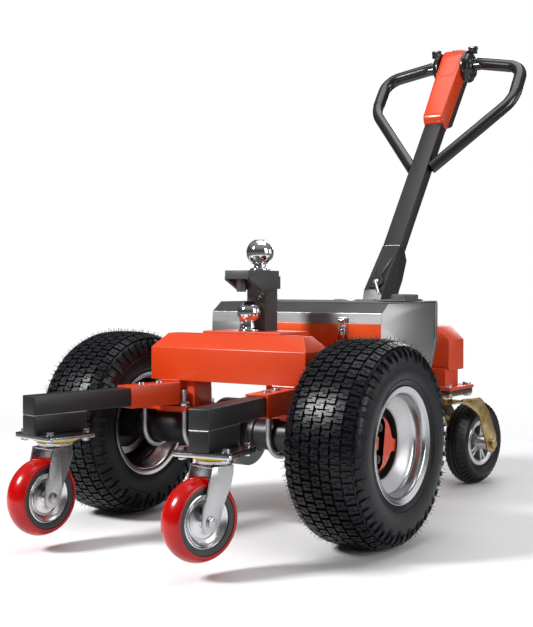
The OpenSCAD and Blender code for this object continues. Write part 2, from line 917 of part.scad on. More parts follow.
module front_fork(side) {
  crown_top = arm_bottom - arm_plate_t - zinc_t - seal_t - clear;
  crown_z = crown_top - crown_h;
  leg_x = front_w / 2 + leg_gap;
  h = crown_z - front_axle_z;
  color("silver") at_origin() front_swivel(side) {
    translate([0, 0, crown_z]) cylinder(d = crown_d, h = crown_h);
    translate([0, 0, crown_top]) cylinder(d = seal_d / 3, h = seal_t - arm_t / 3);
    block(-leg_x - leg_t, leg_x + leg_t, -leg_front, leg_back, crown_z - leg_t, crown_z);
    both() translate([leg_x, 0, 0]) rotate([90, 0, 90]) linear_extrude(height = leg_t) {
      translate([-front_trail, front_axle_z]) circle(r = leg_r);
      polygon([[-front_trail - leg_r, front_axle_z], [leg_r - front_trail, front_axle_z],
        [leg_back * 0.3, crown_z - h * 0.5], [leg_back, crown_z - h * 0.16], [leg_back, crown_z],
        [-leg_front, crown_z]]);
    }
    translate([0, -front_trail, front_axle_z]) bar_x(-leg_x - leg_t, axle_bolt_d / 2,
      2 * (leg_x + leg_t));
    both() translate([leg_x + leg_t, -front_trail, front_axle_z]) rotate([0, 90, 0])
      hex(bolt_r + leg_gap, bolt_h);
  }
}

module front_fork_left() {
  front_fork(1);
}

module front_fork_right() {
  front_fork(-1);
}

module front_tread(side) {
  r = front_d / 2;
  core_r = r - crown_drop - tread_t * 0.7;
  color("darkred") at_origin() front_wheel(side) rotate_extrude($fn = 96) polygon([
    [core_r, -front_w / 2], [r - crown_drop, -front_w / 2], [r - crown_drop * 0.4, -front_w * 0.36],
    [r, -front_w * 0.12], [r, front_w * 0.12], [r - crown_drop * 0.4, front_w * 0.36],
    [r - crown_drop, front_w / 2], [core_r, front_w / 2]]);
}

module front_tread_left() {
  front_tread(1);
}

module front_tread_right() {
  front_tread(-1);
}

module front_core(side) {
  r = front_d / 2 - crown_drop - tread_t * 0.7;
  hub_half = front_w / 2 + leg_gap - clear;
  web_half = front_w * 0.16;
  color("dimgray") at_origin() front_wheel(side) rotate_extrude($fn = 96) polygon([
    [axle_bolt_d / 2 + run_gap, -hub_half], [axle_bolt_d, -hub_half], [axle_bolt_d * 1.5, -web_half * 2],
    [r * 0.45, -web_half], [r * 0.76, -web_half], [r * 0.8, -front_w * 0.46], [r, -front_w * 0.46],
    [r, front_w * 0.46], [r * 0.8, front_w * 0.46], [r * 0.76, web_half], [r * 0.45, web_half],
    [axle_bolt_d * 1.5, web_half * 2], [axle_bolt_d, hub_half], [axle_bolt_d / 2 + run_gap, hub_half]]);
}

module front_core_left() {
  front_core(1);
}

module front_core_right() {
  front_core(-1);
}

module rear_swivel(side) {
  translate([side * rear_mid_x, rear_mid_y, 0]) rotate([0, 0, -rear_angle]) children();
}

module rear_wheel(side) {
  rear_swivel(side) translate([0, rear_trail, rear_axle_z]) rotate([90, 0, 90]) children();
}

module rear_fork(side) {
  top = rear_plate_z - gasket_t - yellow_t - clear;
  crown_z = top - neck_post_h;
  x0 = fork_half - fork_t;
  h = crown_z - rear_axle_z;
  reach = rear_trail;
  color("goldenrod") at_origin() rear_swivel(side) {
    translate([0, 0, crown_z]) cylinder(d = neck_post_d, h = neck_post_h);
    translate([0, 0, top]) cylinder(d = neck_post_d / 2, h = yellow_t);
    block(-fork_half, fork_half, -reach * 0.22, reach * 0.3, crown_z - fork_t, crown_z);
    both() translate([x0, 0, 0]) rotate([90, 0, 90]) linear_extrude(height = fork_t) {
      translate([reach, rear_axle_z]) circle(r = reach * 0.16);
      polygon([[reach * 0.1, crown_z + fork_t], [reach * 0.1, crown_z - h * 0.06],
        [reach * 0.22, crown_z - h * 0.09], [reach * 0.48, crown_z - h * 0.245],
        [reach * 0.61, crown_z - h * 0.356], [reach * 0.72, rear_axle_z + h * 0.346],
        [reach * 0.85, rear_axle_z], [reach * 1.155, rear_axle_z + h * 0.06],
        [reach * 1.143, rear_axle_z + h * 0.183], [reach * 0.925, crown_z - h * 0.296],
        [reach * 0.714, crown_z - h * 0.023], [reach * 0.62, crown_z + fork_t]]);
    }
    translate([0, reach, rear_axle_z]) bar_x(-fork_half, rear_axle_d / 2, 2 * fork_half);
    both() translate([fork_half, reach, rear_axle_z]) rotate([0, 90, 0]) hex(rear_axle_d * 0.75, nut_h);
  }
}

module rear_fork_left() {
  rear_fork(1);
}

module rear_fork_right() {
  rear_fork(-1);
}

module rear_tyre(side) {
  r = rear_wheel_d / 2;
  hw = rear_wheel_w / 2;
  b = rear_hub_d / 2;
  t = side_t * 0.75;
  color("black") at_origin() rear_wheel(side) rotate_extrude($fn = 96) polygon([
    [b, hw * 0.78], [b + t, hw * 0.88], [(r + b) / 2, hw], [r - t * 2.8, hw * 0.86],
    [r - t * 1.33, hw * 0.68], [r, hw * 0.45], [r, -hw * 0.45], [r - t * 1.33, -hw * 0.68],
    [r - t * 2.8, -hw * 0.86], [(r + b) / 2, -hw], [b + t, -hw * 0.88], [b, -hw * 0.78],
    [b, t - hw * 0.78], [b + t, t - hw * 0.88], [(r + b) / 2, t - hw], [(r + b + t) / 2, -hw * 0.72],
    [r - t * 2.2, -hw * 0.53], [r - t, -hw * 0.35], [r - t, hw * 0.35], [r - t * 2.2, hw * 0.53],
    [(r + b + t) / 2, hw * 0.72], [(r + b) / 2, hw - t], [b + t, hw * 0.88 - t], [b, hw * 0.78 - t]]);
}

module rear_tyre_left() {
  rear_tyre(1);
}

module rear_tyre_right() {
  rear_tyre(-1);
}

module rear_rim(side) {
  b = rear_hub_d / 2;
  hw = rear_wheel_w * 0.39;
  hub_half = fork_half - fork_t - clear;
  spokes = 5;
  rim_in = b * 0.78;
  color("silver") at_origin() rear_wheel(side) {
    rotate_extrude($fn = 96) polygon([[rim_in, -hw], [b, -hw], [b, hw], [rim_in, hw]]);
    rotate_extrude() polygon([[rear_axle_d / 2 + run_gap, -hub_half], [rear_axle_d, -hub_half],
      [rear_axle_d, hub_half], [rear_axle_d / 2 + run_gap, hub_half]]);
    translate([0, 0, -hw * 0.5]) linear_extrude(height = hw) difference() {
      circle(r = rim_in + eps);
      circle(r = rear_axle_d - eps);
      for (i = [0 : spokes - 1]) rotate([0, 0, i * 360 / spokes]) translate([(rim_in + rear_axle_d)
        / 2 + 2 * eps, 0])
        circle(d = rim_in - rear_axle_d * 1.5);
    }
  }
}

module rear_rim_left() {
  rear_rim(1);
}

module rear_rim_right() {
  rear_rim(-1);
}

// Side outline of the box body, drawn d inside the outer sheet
module tub_outline(d, low) {
  polygon([[box_y + d, low], [box_y + d, lip_z - clear], [box_y + sheet_t + clear + d, lip_z - clear],
    [box_y + sheet_t + clear + d, slope_z - sheet_t - d * 0.3], [box_y + lid_slope + d * 0.4,
      box_top - sheet_t - seal_h],
    [box_back - d, box_top - sheet_t - seal_h], [box_back - d, back_z + d * 0.5],
      [box_back - tub_in - d, low]]);
}

module battery_tub() {
  notch_half = rail_w / 2 + pin_room;
  color("silver") at_origin() difference() {
    translate([-box_w / 2, 0, 0]) rotate([90, 0, 90]) linear_extrude(height = box_w) tub_outline(0,
      box_z);
    translate([sheet_t - box_w / 2, 0, 0]) rotate([90, 0, 90])
      linear_extrude(height = box_w - 2 * sheet_t)
      tub_outline(sheet_t, floor_z + sheet_t);
    block(sheet_t - box_w / 2, box_w / 2 - sheet_t, box_y + lid_slope + sheet_t, box_back - sheet_t,
      floor_z + sheet_t, box_top);
    block(sheet_t - box_w / 2, box_w / 2 - sheet_t, box_y + sheet_t, box_back - tub_in - 3 * sheet_t,
      box_z - eps, floor_z);
    both() block(rail_x - notch_half, rail_x + notch_half, box_y - eps, box_back, box_z - eps, floor_z);
  }
}

module lid_seal() {
  z0 = box_top - sheet_t - seal_h;
  color("black") at_origin() difference() {
    block(-box_w / 2, box_w / 2, box_y + lid_slope + sheet_t / 2, box_back, z0, z0 + seal_h - clear);
    block(sheet_t * 3 - box_w / 2, box_w / 2 - sheet_t * 3, box_y + lid_slope + 3 * sheet_t,
      box_back - 3 * sheet_t,
      z0 - eps, z0 + seal_h);
  }
}

module batteries() {
  color("dimgray") at_origin() both() block(base_t, base_t + battery_w, box_y + 3 * base_t,
    box_y + 3 * base_t + battery_l, floor_z + sheet_t, floor_z + sheet_t + battery_h);
}

module controller() {
  y0 = box_y + 3 * base_t + battery_l + base_t;
  color("silver") at_origin() block(-box_w * 0.3, box_w * 0.3, y0, y0 + battery_l * 0.2,
    floor_z + sheet_t,
    floor_z + sheet_t + battery_h * 0.5);
}

module lid_hinge() {
  color("black") at_origin() {
    both() translate([hinge_mid / 2 + clear, 0, 0]) {
      translate([0, hinge_at_y, hinge_at_z]) bar_x(0, hinge_r - clear, hinge_mid - clear);
      block(0, hinge_mid - clear, box_back, box_back + hinge_r, hinge_at_z - hinge_r * 4,
        hinge_at_z - hinge_r / 3);
    }
    block(-hinge_l / 2, hinge_l / 2, box_back, box_back + sheet_t, hinge_at_z - hinge_r * 4,
      hinge_at_z - hinge_r * 1.5);
    translate([0, hinge_at_y, hinge_at_z]) bar_x(-hinge_l / 2, hinge_pin_r, hinge_l);
  }
}

module lid() {
  y0 = box_y;
  y1 = box_y + lid_slope;
  zt = box_top;
  t = sheet_t;
  color("silver") at_origin() {
    difference() {
      translate([-box_w / 2, 0, 0]) rotate([90, 0, 90]) linear_extrude(height = box_w) polygon([
        [y0, lip_z], [y0 + t, lip_z], [y0 + t, slope_z - t * 0.5], [y1 + t * 0.4, zt - t],
          [box_back, zt - t],
        [box_back, zt], [y1, zt], [y0, slope_z]]);
      translate([knob_x, knob_y, zt - t - eps]) cylinder(d = post_knob_d + 2 * clear, h = t + 2 * eps);
    }
    difference() {
      union() {
        translate([0, hinge_at_y, hinge_at_z]) bar_x(-hinge_mid / 2, hinge_r - clear, hinge_mid);
        block(-hinge_mid / 2, hinge_mid / 2, box_back - hinge_r * 3, hinge_at_y, zt, zt + t);
        block(-hinge_mid / 2, hinge_mid / 2, hinge_at_y - t, hinge_at_y + t, hinge_at_z, zt + t);
      }
      translate([0, hinge_at_y, hinge_at_z]) bar_x(-hinge_l / 2, hinge_pin_r + run_gap, hinge_l);
    }
    difference() {
      block(knob_x - knob_base_x * 0.64, knob_x + knob_base_x * 0.36, knob_y - knob_base_y * 0.64,
        knob_y + knob_base_y * 0.36, zt, zt + knob_base);
      translate([knob_x, knob_y, zt - eps]) cylinder(d = post_knob_d + 2 * run_gap,
        h = knob_base + 2 * eps);
    }
    both() block(latch_x - latch_w / 2, latch_x + latch_w / 2, box_y - catch_t, box_y,
      lip_z + catch_t, lip_z + catch_t * 4);
  }
}

module power_knob() {
  z0 = box_top + knob_base + clear;
  color("black") at_origin() translate([knob_x, knob_y, 0]) {
    translate([0, 0, z0]) cylinder(d = knob_d, h = knob_h);
    translate([0, 0, box_top - sheet_t]) cylinder(d = post_knob_d, h = knob_base + sheet_t + clear);
  }
}

module latch_bases() {
  ear = latch_w * 0.16;
  color("silver") at_origin() both() difference() {
    union() {
      block(latch_x - latch_w / 2, latch_x + latch_w / 2, box_y - catch_t, box_y, latch_z,
        lip_z - catch_t);
      for (i = [-1, 1]) translate([latch_x + i * (latch_w / 2 - ear / 2), 0, 0])
        block(-ear / 2, ear / 2, latch_pin_y - 2 * latch_pin_r, box_y, latch_z,
          latch_z + 4 * latch_pin_r);
    }
    translate([latch_x, latch_pin_y, latch_pin_z]) bar_x(-latch_w, latch_pin_r + run_gap, 2 * latch_w);
  }
}

module latch(side) {
  ear = latch_w * 0.16;
  half = latch_w / 2 - ear - clear;
  bar_z = lip_z + catch_t * 2.4;
  y1 = box_y - catch_t - latch_gap;
  color("silver") at_origin() translate([side * latch_x, 0, 0]) {
    translate([0, latch_pin_y, latch_pin_z]) bar_x(-latch_w / 2, latch_pin_r, latch_w);
    translate([0, latch_pin_y, latch_pin_z]) bar_x(-half, latch_pin_r * 1.4, 2 * half);
    block(-half, half, y1 - latch_wire, y1 - latch_wire / 3, latch_pin_z, latch_z + latch_h * 0.75);
    for (i = [-1, 1]) translate([i * (half - latch_wire / 2), y1 - latch_wire / 2,
      latch_z + latch_h * 0.5])
      cylinder(d = latch_wire, h = bar_z - latch_z - latch_h * 0.5);
    translate([0, y1 - latch_wire / 2, bar_z]) bar_x(-half, latch_wire / 2, 2 * half);
  }
}

module latch_left() {
  latch(1);
}

module latch_right() {
  latch(-1);
}

module handle_bracket() {
  x0 = foot_w / 2 + clear;
  top = rear_z + rear_h;
  cheek_r = foot_r * 0.55;
  color("orangered") at_origin() {
    both() translate([x0, 0, 0]) rotate([90, 0, 90]) linear_extrude(height = bracket_t) {
      translate([hinge_y, hinge_z]) circle(r = cheek_r);
      polygon([[rear_y, top], [rear_y + foot_r * 1.3, top], [hinge_y + cheek_r * 0.9,
        hinge_z + cheek_r * 0.35],
        [hinge_y - cheek_r * 0.95, hinge_z - cheek_r * 0.25]]);
    }
    translate([0, hinge_y, hinge_z]) {
      bar_x(-x0 - bracket_t, hinge_pin_d / 2, 2 * (x0 + bracket_t));
      both() bar_x(x0 + bracket_t, hinge_pin_d * 0.7, base_t);
    }
  }
}

// Frame along the handle tube: local z runs up the tube, y = 0 is its front face
module handle_frame() {
  translate([0, arm_y, arm_z]) rotate([-lean, 0, 0]) children();
}

// Frame of the loop: local z runs up in the plane of the loop
module loop_frame() {
  handle_frame() translate([0, handle_t / 2, loop_s]) rotate([lean - loop_lean, 0, 0]) children();
}

// Frame of the lock: local z points out of the front face of the foot
module lock_frame() {
  fy = foot_shares[1][0] + (foot_shares[2][0] - foot_shares[1][0]) * lever_share * 0.4;
  fz = foot_shares[1][1] + (foot_shares[2][1] - foot_shares[1][1]) * lever_share * 0.4;
  translate([0, hinge_y + foot_h * fy, hinge_z + foot_h * fz]) rotate([90 - face_lean, 0, 0]) children();
}

module handle_arm() {
  color("black") at_origin() {
    difference() {
      union() {
        translate([-foot_w / 2, 0, 0]) rotate([90, 0, 90]) linear_extrude(height = foot_w) {
          translate([hinge_y, hinge_z]) circle(r = foot_r);
          translate([hinge_y, hinge_z]) polygon(foot_h * foot_shares);
        }
        lock_frame() cylinder(d = ring_d, h = ring_t);
      }
      translate([0, hinge_y, hinge_z]) bar_x(-foot_w, hinge_pin_d / 2 + run_gap, 2 * foot_w);
      lock_frame() translate([0, 0, -ring_d / 4]) cylinder(d = lever_d * 2 + 2 * run_gap, h = ring_d);
    }
    handle_frame() difference() {
      block(-handle_w / 2, handle_w / 2, 0, handle_t, 0, tube_l);
      block(tube_t - handle_w / 2, handle_w / 2 - tube_t, tube_t, handle_t - tube_t, tube_t,
        tube_l + eps);
    }
  }
}

module lock_lever() {
  color("silver") at_origin() lock_frame() {
    translate([0, 0, -ring_d / 4]) cylinder(d = lever_d * 2, h = ring_d / 4 + ring_t + lever_d);
    translate([0, 0, ring_t + lever_d / 2 + pin_room]) rotate([90, 0, lever_turn]) cylinder(d = lever_d,
      h = lever_l);
  }
}

module tube_to(x0, z0, x1, z1) {
  translate([x0, 0, z0]) rotate([0, atan2(x1 - x0, z1 - z0), 0]) translate([0, 0, -clear])
    cylinder(r = loop_r - run_gap, h = norm([x1 - x0, z1 - z0]) + 2 * clear);
}

module tube_bend(x, z, r, from, sweep) {
  translate([x, 0, z]) rotate([90, 0, 0]) rotate([0, 0, from]) rotate_extrude(angle = sweep)
    translate([r, 0]) circle(r = loop_r);
}

module loop_handle() {
  ta = bend_a * tan(turn_a / 2);
  tb = bend_b * tan(turn_b / 2);
  color("black") at_origin() loop_frame() {
    both() {
      difference() {
        tube_to(low_x - loop_r, low_s - loop_r / tan(turn_a), loop_x - ta * sin(turn_a),
          corner_a - ta * cos(turn_a));
        block(-handle_w, handle_w / 2, -handle_t, handle_t, 3 * low_s, throttle_s);
      }
      tube_bend(loop_x - bend_a, corner_a + ta, bend_a, -turn_a, turn_a);
      tube_to(loop_x, corner_a + ta, loop_x, corner_b - tb);
      tube_bend(loop_x - bend_b, corner_b - tb, bend_b, 0, turn_b);
      tube_to(loop_x - tb * sin(turn_b), corner_b + tb * cos(turn_b), grip_x,
        corner_b + (loop_x - grip_x) / tan(turn_b));
    }
    translate([0, 0, throttle_s]) bar_x(-grip_x - loop_r / 2, loop_r * 0.8, 2 * grip_x + loop_r);
  }
}

module head_front() {
  translate([0, 2 * front_y, 0]) rotate([90, 0, 0]) linear_extrude(height = 4 * front_y)
    polygon([[-head_w_low / 2, 0], [head_w_low / 2, 0], [head_w_top / 2, head_l], [-head_w_top / 2,
      head_l]]);
}

module head_side() {
  translate([-head_w_top, 0, 0]) rotate([90, 0, 90]) linear_extrude(height = 2 * head_w_top) children();
}

module head_bores() {
  translate([0, 0, throttle_s]) bar_x(-head_w_top, loop_r * 0.8 + clear, 2 * head_w_top);
  rotate([loop_lean - lean, 0, 0]) translate([0, -handle_t / 2, -loop_s])
    block(-handle_w / 2 - clear, handle_w / 2 + clear, -clear, handle_t + clear, 0, tube_l + clear);
}

module head_cover() {
  color("orangered") at_origin() loop_frame() difference() {
    intersection() {
      head_front();
      head_side() polygon([[lower_y, 0], [-front_y * 0.6, 0], [-front_y, front_y * 0.4],
        [-front_y, head_l * 0.9], [-front_y * 0.75, head_l], [lower_y, head_l]]);
    }
    head_bores();
    block(-button_w / 2 - clear, button_w / 2 + clear, -button_t - clear, clear,
      head_l - button_in - clear, head_l + eps);
    block(-head_w_low * 0.4, head_w_low * 0.4, -front_y * 0.8, lower_y + eps, head_l * 0.3,
      head_l * 0.72);
  }
}

module head_shell() {
  color("black") at_origin() loop_frame() difference() {
    intersection() {
      head_front();
      head_side() polygon([[lower_y, 0], [back_y, head_l * 0.12], [back_y, head_l * 0.88],
        [lower_y, head_l]]);
    }
    head_bores();
  }
}

module belly_button() {
  color("navy") at_origin() loop_frame()
    block(-button_w / 2, button_w / 2, -button_t, 0, head_l - button_in + 2 * base_t * 0.7,
      head_l + button_out);
}

module throttle() {
  color("black") at_origin() loop_frame() translate([0, 0, throttle_s]) both() {
    difference() {
      bar_x(disc_x, throttle_d / 2, disc_w);
      bar_x(disc_x - eps, loop_r * 0.8 + run_gap, disc_w + 2 * eps);
    }
    rotate([paddle_turn, 0, 0]) block(disc_x + disc_w * 0.3, disc_x + disc_w * 0.3 + paddle_w,
      -lever_d / 2, lever_d / 2, throttle_d * 0.34, throttle_d * 0.34 + paddle_l);
  }
}

module frame_bolts() {
  color("silver") at_origin() both() {
    for (x = [u_in_x, u_out_x], j = [-1, 1]) translate([x, j * u_mid_r, plate_z + plate_t])
      difference() {
      hex(nut_m_r, nut_flat_h);
      translate([0, 0, -eps]) cylinder(d = u_rod + eps, h = nut_flat_h + 2 * eps);
    }
    for (y = [0.3, 0.62]) arm_frame(1) translate([0, sleeve_len * y, arm_top + sleeve_wall])
      cylinder(d = clamp_d, h = clamp_h * 0.6);
    rear_place() for (i = [-1, 1], j = [-1, 1]) translate([i * rear_bolt_x, j * rear_bolt_y, 0]) {
      translate([0, 0, rear_plate_z - gasket_t - yellow_t - bolt_h]) hex(nut_m_r, bolt_h);
      translate([0, 0, rear_plate_z - gasket_t - yellow_t - eps])
        cylinder(d = axle_bolt_d, h = gasket_t + yellow_t + rear_plate_t + 2 * eps);
      translate([0, 0, rear_plate_z + rear_plate_t]) hex(nut_m_r, bolt_h);
    }
  }
}

front_beam();
rear_beam();
saddles();
u_bolts();
axle_tubes();
gearbox_case();
gearbox_cover();
motors();
hitch_post();
upper_ball();
lower_ball();
battery_tub();
lid_seal();
batteries();
controller();
lid_hinge();
latch_bases();
handle_bracket();
frame_bolts();
rear_caster_plates();
lid();
power_knob();
latch_left();
latch_right();
front_arm_left();
front_arm_right();
front_plate_left();
front_plate_right();
front_fork_left();
front_fork_right();
front_tread_left();
front_tread_right();
front_core_left();
front_core_right();
rear_fork_left();
rear_fork_right();
rear_tyre_left();
rear_tyre_right();
rear_rim_left();
rear_rim_right();
tyre_left();
tyre_right();
rim_left();
rim_right();
hub_left();
hub_right();
hub_cover_left();
hub_cover_right();
axle_shaft_left();
axle_shaft_right();
pinion_left();
pinion_right();
handle_arm();
loop_handle();
head_cover();
head_shell();
throttle();
belly_button();
lock_lever();
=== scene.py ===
# %% [markdown]
# This lesson dresses a walk-behind electric tug for a photograph. The solid
# model gives every size and place; here each visible piece is rebuilt with soft
# edges, tread, threads and finishes. It could all be sculpted by hand, but
# working from the frame keeps each piece exactly where its solid is.

# %% Load the frame
import math
import random

import bmesh
import bpy
from mathutils import Matrix, Vector


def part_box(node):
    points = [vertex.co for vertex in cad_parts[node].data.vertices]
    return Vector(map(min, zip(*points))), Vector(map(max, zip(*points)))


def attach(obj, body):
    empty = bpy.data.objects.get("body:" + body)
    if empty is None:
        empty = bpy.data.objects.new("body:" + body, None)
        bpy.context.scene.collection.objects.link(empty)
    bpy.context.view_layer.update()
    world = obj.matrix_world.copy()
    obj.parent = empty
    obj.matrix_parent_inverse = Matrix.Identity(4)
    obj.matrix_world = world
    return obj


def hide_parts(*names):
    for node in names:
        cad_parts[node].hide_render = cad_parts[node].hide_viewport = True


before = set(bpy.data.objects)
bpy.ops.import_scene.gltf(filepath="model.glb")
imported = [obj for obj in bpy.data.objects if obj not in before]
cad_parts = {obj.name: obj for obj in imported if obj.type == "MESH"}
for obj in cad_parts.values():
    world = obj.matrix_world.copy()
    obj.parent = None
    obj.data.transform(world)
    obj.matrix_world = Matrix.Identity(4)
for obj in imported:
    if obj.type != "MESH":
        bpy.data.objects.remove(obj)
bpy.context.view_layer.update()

# %% [markdown]
# Sizes below are in millimetres measured from the driven axle, as on a workshop
# drawing. Small helpers turn such points into the frame's metres.

# %% Workshop coordinates
mm = 0.001
low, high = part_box("tyre_left")
axle_y = (low.y + high.y) / 2
axle_z = (low.z + high.z) / 2
wheel_x = (low.x + high.x) / 2
both_sides = (("left", 1), ("right", -1))


def at(x, y, z):
    return Vector((x, y, z)) * mm + Vector((0, axle_y, 0))


def rise(height):
    return Vector((0, 0, height * mm))


def local(place, x, y, z):
    """A point in mm on a piece's own axes, in metres in the frame."""
    return place @ (Vector((x, y, z)) * mm)


def shifted(place, x, y, z):
    """A piece's axes, moved along themselves by mm."""
    return place @ Matrix.Translation(Vector((x, y, z)) * mm)


home = Matrix.Translation(at(0, 0, 0))
print("axle at", round(axle_y, 4), round(axle_z, 4), "wheel at", round(wheel_x, 4))

# %% [markdown]
# Every finish starts from one shader. The helper makes the material with its
# Principled BSDF and fixed numbers set on its own sockets, so the export keeps
# them. Patterns are linked afterwards.

# %% Material helpers
def new_finish(name, rough=0.5, metal=0.0, coat=0.0, coat_rough=0.05, ior=1.5):
    mat = bpy.data.materials.new(name)
    mat.use_nodes = True
    shader = mat.node_tree.nodes["Principled BSDF"]
    shader.inputs["Roughness"].default_value = rough
    shader.inputs["Metallic"].default_value = metal
    shader.inputs["Coat Weight"].default_value = coat
    shader.inputs["Coat Roughness"].default_value = coat_rough
    shader.inputs["IOR"].default_value = ior
    return mat, mat.node_tree, shader


def add_node(tree, kind, **values):
    node = tree.nodes.new(kind)
    for key, value in values.items():
        if key in node.inputs:
            node.inputs[key].default_value = value
        else:
            setattr(node, key, value)
    return node


def wire(tree, *links):
    """Links nodes, each link as (from node, its output, to node, its input)."""
    for source, output, target, socket in links:
        tree.links.new(source.outputs[output], target.inputs[socket])


print("material helpers ready")


# %% [markdown]
# Real surfaces are never one colour. This group mixes two colours with a soft
# cloudy mask and gives a height for a fine bump. It is built once and placed in
# each material with its own values, which is easier to keep even than copies.

# %% Group: cloudy finish
def make_cloudy():
    group = bpy.data.node_groups.new("cloudy_finish", "ShaderNodeTree")
    face = group.interface
    for name, kind, value in (
        ("Light", "NodeSocketColor", (0.8, 0.8, 0.8, 1)),
        ("Dark", "NodeSocketColor", (0.6, 0.6, 0.6, 1)),
        ("Cloud Scale", "NodeSocketFloat", 8.0),
        ("Grain Scale", "NodeSocketFloat", 900.0),
        ("Rough Low", "NodeSocketFloat", 0.3),
        ("Rough High", "NodeSocketFloat", 0.45),
    ):
        face.new_socket(name=name, in_out="INPUT", socket_type=kind).default_value = value
    for name, kind in (("Color", "NodeSocketColor"), ("Roughness", "NodeSocketFloat"),
                       ("Height", "NodeSocketFloat")):
        face.new_socket(name=name, in_out="OUTPUT", socket_type=kind)
    gin = group.nodes.new("NodeGroupInput")
    gout = group.nodes.new("NodeGroupOutput")
    coords = group.nodes.new("ShaderNodeTexCoord")
    cloud = add_node(group, "ShaderNodeTexNoise", Detail=5.0, Roughness=0.6)
    grain = add_node(group, "ShaderNodeTexNoise", Detail=2.0)
    mix = add_node(group, "ShaderNodeMix", data_type="RGBA")
    rough = group.nodes.new("ShaderNodeMapRange")
    wire(group, (coords, "Object", cloud, "Vector"), (coords, "Object", grain, "Vector"),
         (gin, "Cloud Scale", cloud, "Scale"), (gin, "Grain Scale", grain, "Scale"),
         (cloud, "Fac", mix, "Factor"), (gin, "Dark", mix, 6), (gin, "Light", mix, 7),
         (cloud, "Fac", rough, "Value"), (gin, "Rough Low", rough, "To Min"),
         (gin, "Rough High", rough, "To Max"), (mix, 2, gout, "Color"),
         (rough, "Result", gout, "Roughness"), (grain, "Fac", gout, "Height"))
    return group


cloudy = make_cloudy()
print("group", cloudy.name, "outputs", [s.name for s in cloudy.interface.items_tree if s.in_out == "OUTPUT"])

# %% [markdown]
# A finish is the shader plus the group, with two colours, a range of roughness
# and a fine bump.

# %% Finish from the cloudy group
def cloudy_finish(name, light, dark, rough, cloud=8.0, grain=900.0, bump=0.1, depth=0.0002, **shader_values):
    mat, tree, shader = new_finish(name, **shader_values)
    node = tree.nodes.new("ShaderNodeGroup")
    node.node_tree = cloudy
    for key, value in (("Light", (*light, 1)), ("Dark", (*dark, 1)), ("Cloud Scale", cloud),
                       ("Grain Scale", grain), ("Rough Low", rough[0]), ("Rough High", rough[1])):
        node.inputs[key].default_value = value
    bumped = add_node(tree, "ShaderNodeBump", Strength=bump, Distance=depth)
    wire(tree, (node, "Color", shader, "Base Color"), (node, "Roughness", shader, "Roughness"),
         (node, "Height", bumped, "Height"), (bumped, "Normal", shader, "Normal"))
    return mat


print("finish maker ready")

# %% [markdown]
# Paints, rubbers and plastics come first: dark colours stay well above zero, so
# they still show their form, and each has its own grain and gloss.

# %% Paint, rubber and plastic finishes
orange = cloudy_finish("orange_powder_coat", (0.62, 0.047, 0.003), (0.54, 0.038, 0.002), (0.30, 0.40),
                       cloud=5, grain=1400, bump=0.06, coat=0.12, coat_rough=0.2)
orange_plastic = cloudy_finish("orange_moulding", (0.66, 0.050, 0.003), (0.58, 0.042, 0.002), (0.22, 0.30),
                               cloud=9, grain=1800, bump=0.04, coat=0.2, coat_rough=0.12)
black_coat = cloudy_finish("black_powder_coat", (0.014, 0.014, 0.016), (0.008, 0.008, 0.009), (0.34, 0.46),
                           cloud=12, grain=1600, bump=0.14)
post_grey = cloudy_finish("dark_grey_coat", (0.070, 0.070, 0.070), (0.050, 0.050, 0.050), (0.36, 0.48),
                          cloud=12, grain=1600, bump=0.14)
black_gloss = cloudy_finish("black_gloss_paint", (0.012, 0.012, 0.013), (0.007, 0.007, 0.008), (0.18, 0.26),
                            cloud=14, grain=900, bump=0.03, coat=0.5, coat_rough=0.08)
black_plastic = cloudy_finish("black_moulded_plastic", (0.022, 0.022, 0.024), (0.014, 0.014, 0.015),
                              (0.38, 0.52), cloud=20, grain=2400, bump=0.25)
blue_plastic = cloudy_finish("dark_blue_button", (0.02, 0.035, 0.12), (0.012, 0.02, 0.08), (0.25, 0.35),
                             cloud=20, grain=2400, bump=0.1)
rubber = cloudy_finish("tyre_rubber", (0.009, 0.010, 0.013), (0.004, 0.0045, 0.006), (0.26, 0.40), cloud=40,
                       grain=700, bump=0.25, depth=0.0004, ior=1.32)
seal_rubber = cloudy_finish("seal_rubber", (0.014, 0.014, 0.014), (0.008, 0.008, 0.008), (0.6, 0.7),
                            cloud=30, grain=900, bump=0.2)
red_tread = cloudy_finish("red_polyurethane", (0.46, 0.0006, 0.0010), (0.37, 0.0004, 0.0008), (0.16, 0.24),
                          cloud=10, grain=500, bump=0.03, coat=0.15, coat_rough=0.04, ior=1.4)
grey_core = cloudy_finish("dark_grey_core", (0.030, 0.032, 0.035), (0.020, 0.021, 0.023), (0.35, 0.45),
                          cloud=20, grain=1200, bump=0.1)
grey_plastic = cloudy_finish("battery_case", (0.10, 0.10, 0.11), (0.07, 0.07, 0.08), (0.5, 0.6), cloud=15,
                             grain=1500, bump=0.2)
yellow_ring = cloudy_finish("yellow_seal", (0.85, 0.62, 0.02), (0.75, 0.50, 0.01), (0.35, 0.45), cloud=20,
                            grain=900, bump=0.1)
print("paints, rubbers and plastics:", len(bpy.data.materials))

# %% [markdown]
# The metals differ in how bright and how smooth they are, from mirror chrome to
# dull zinc.

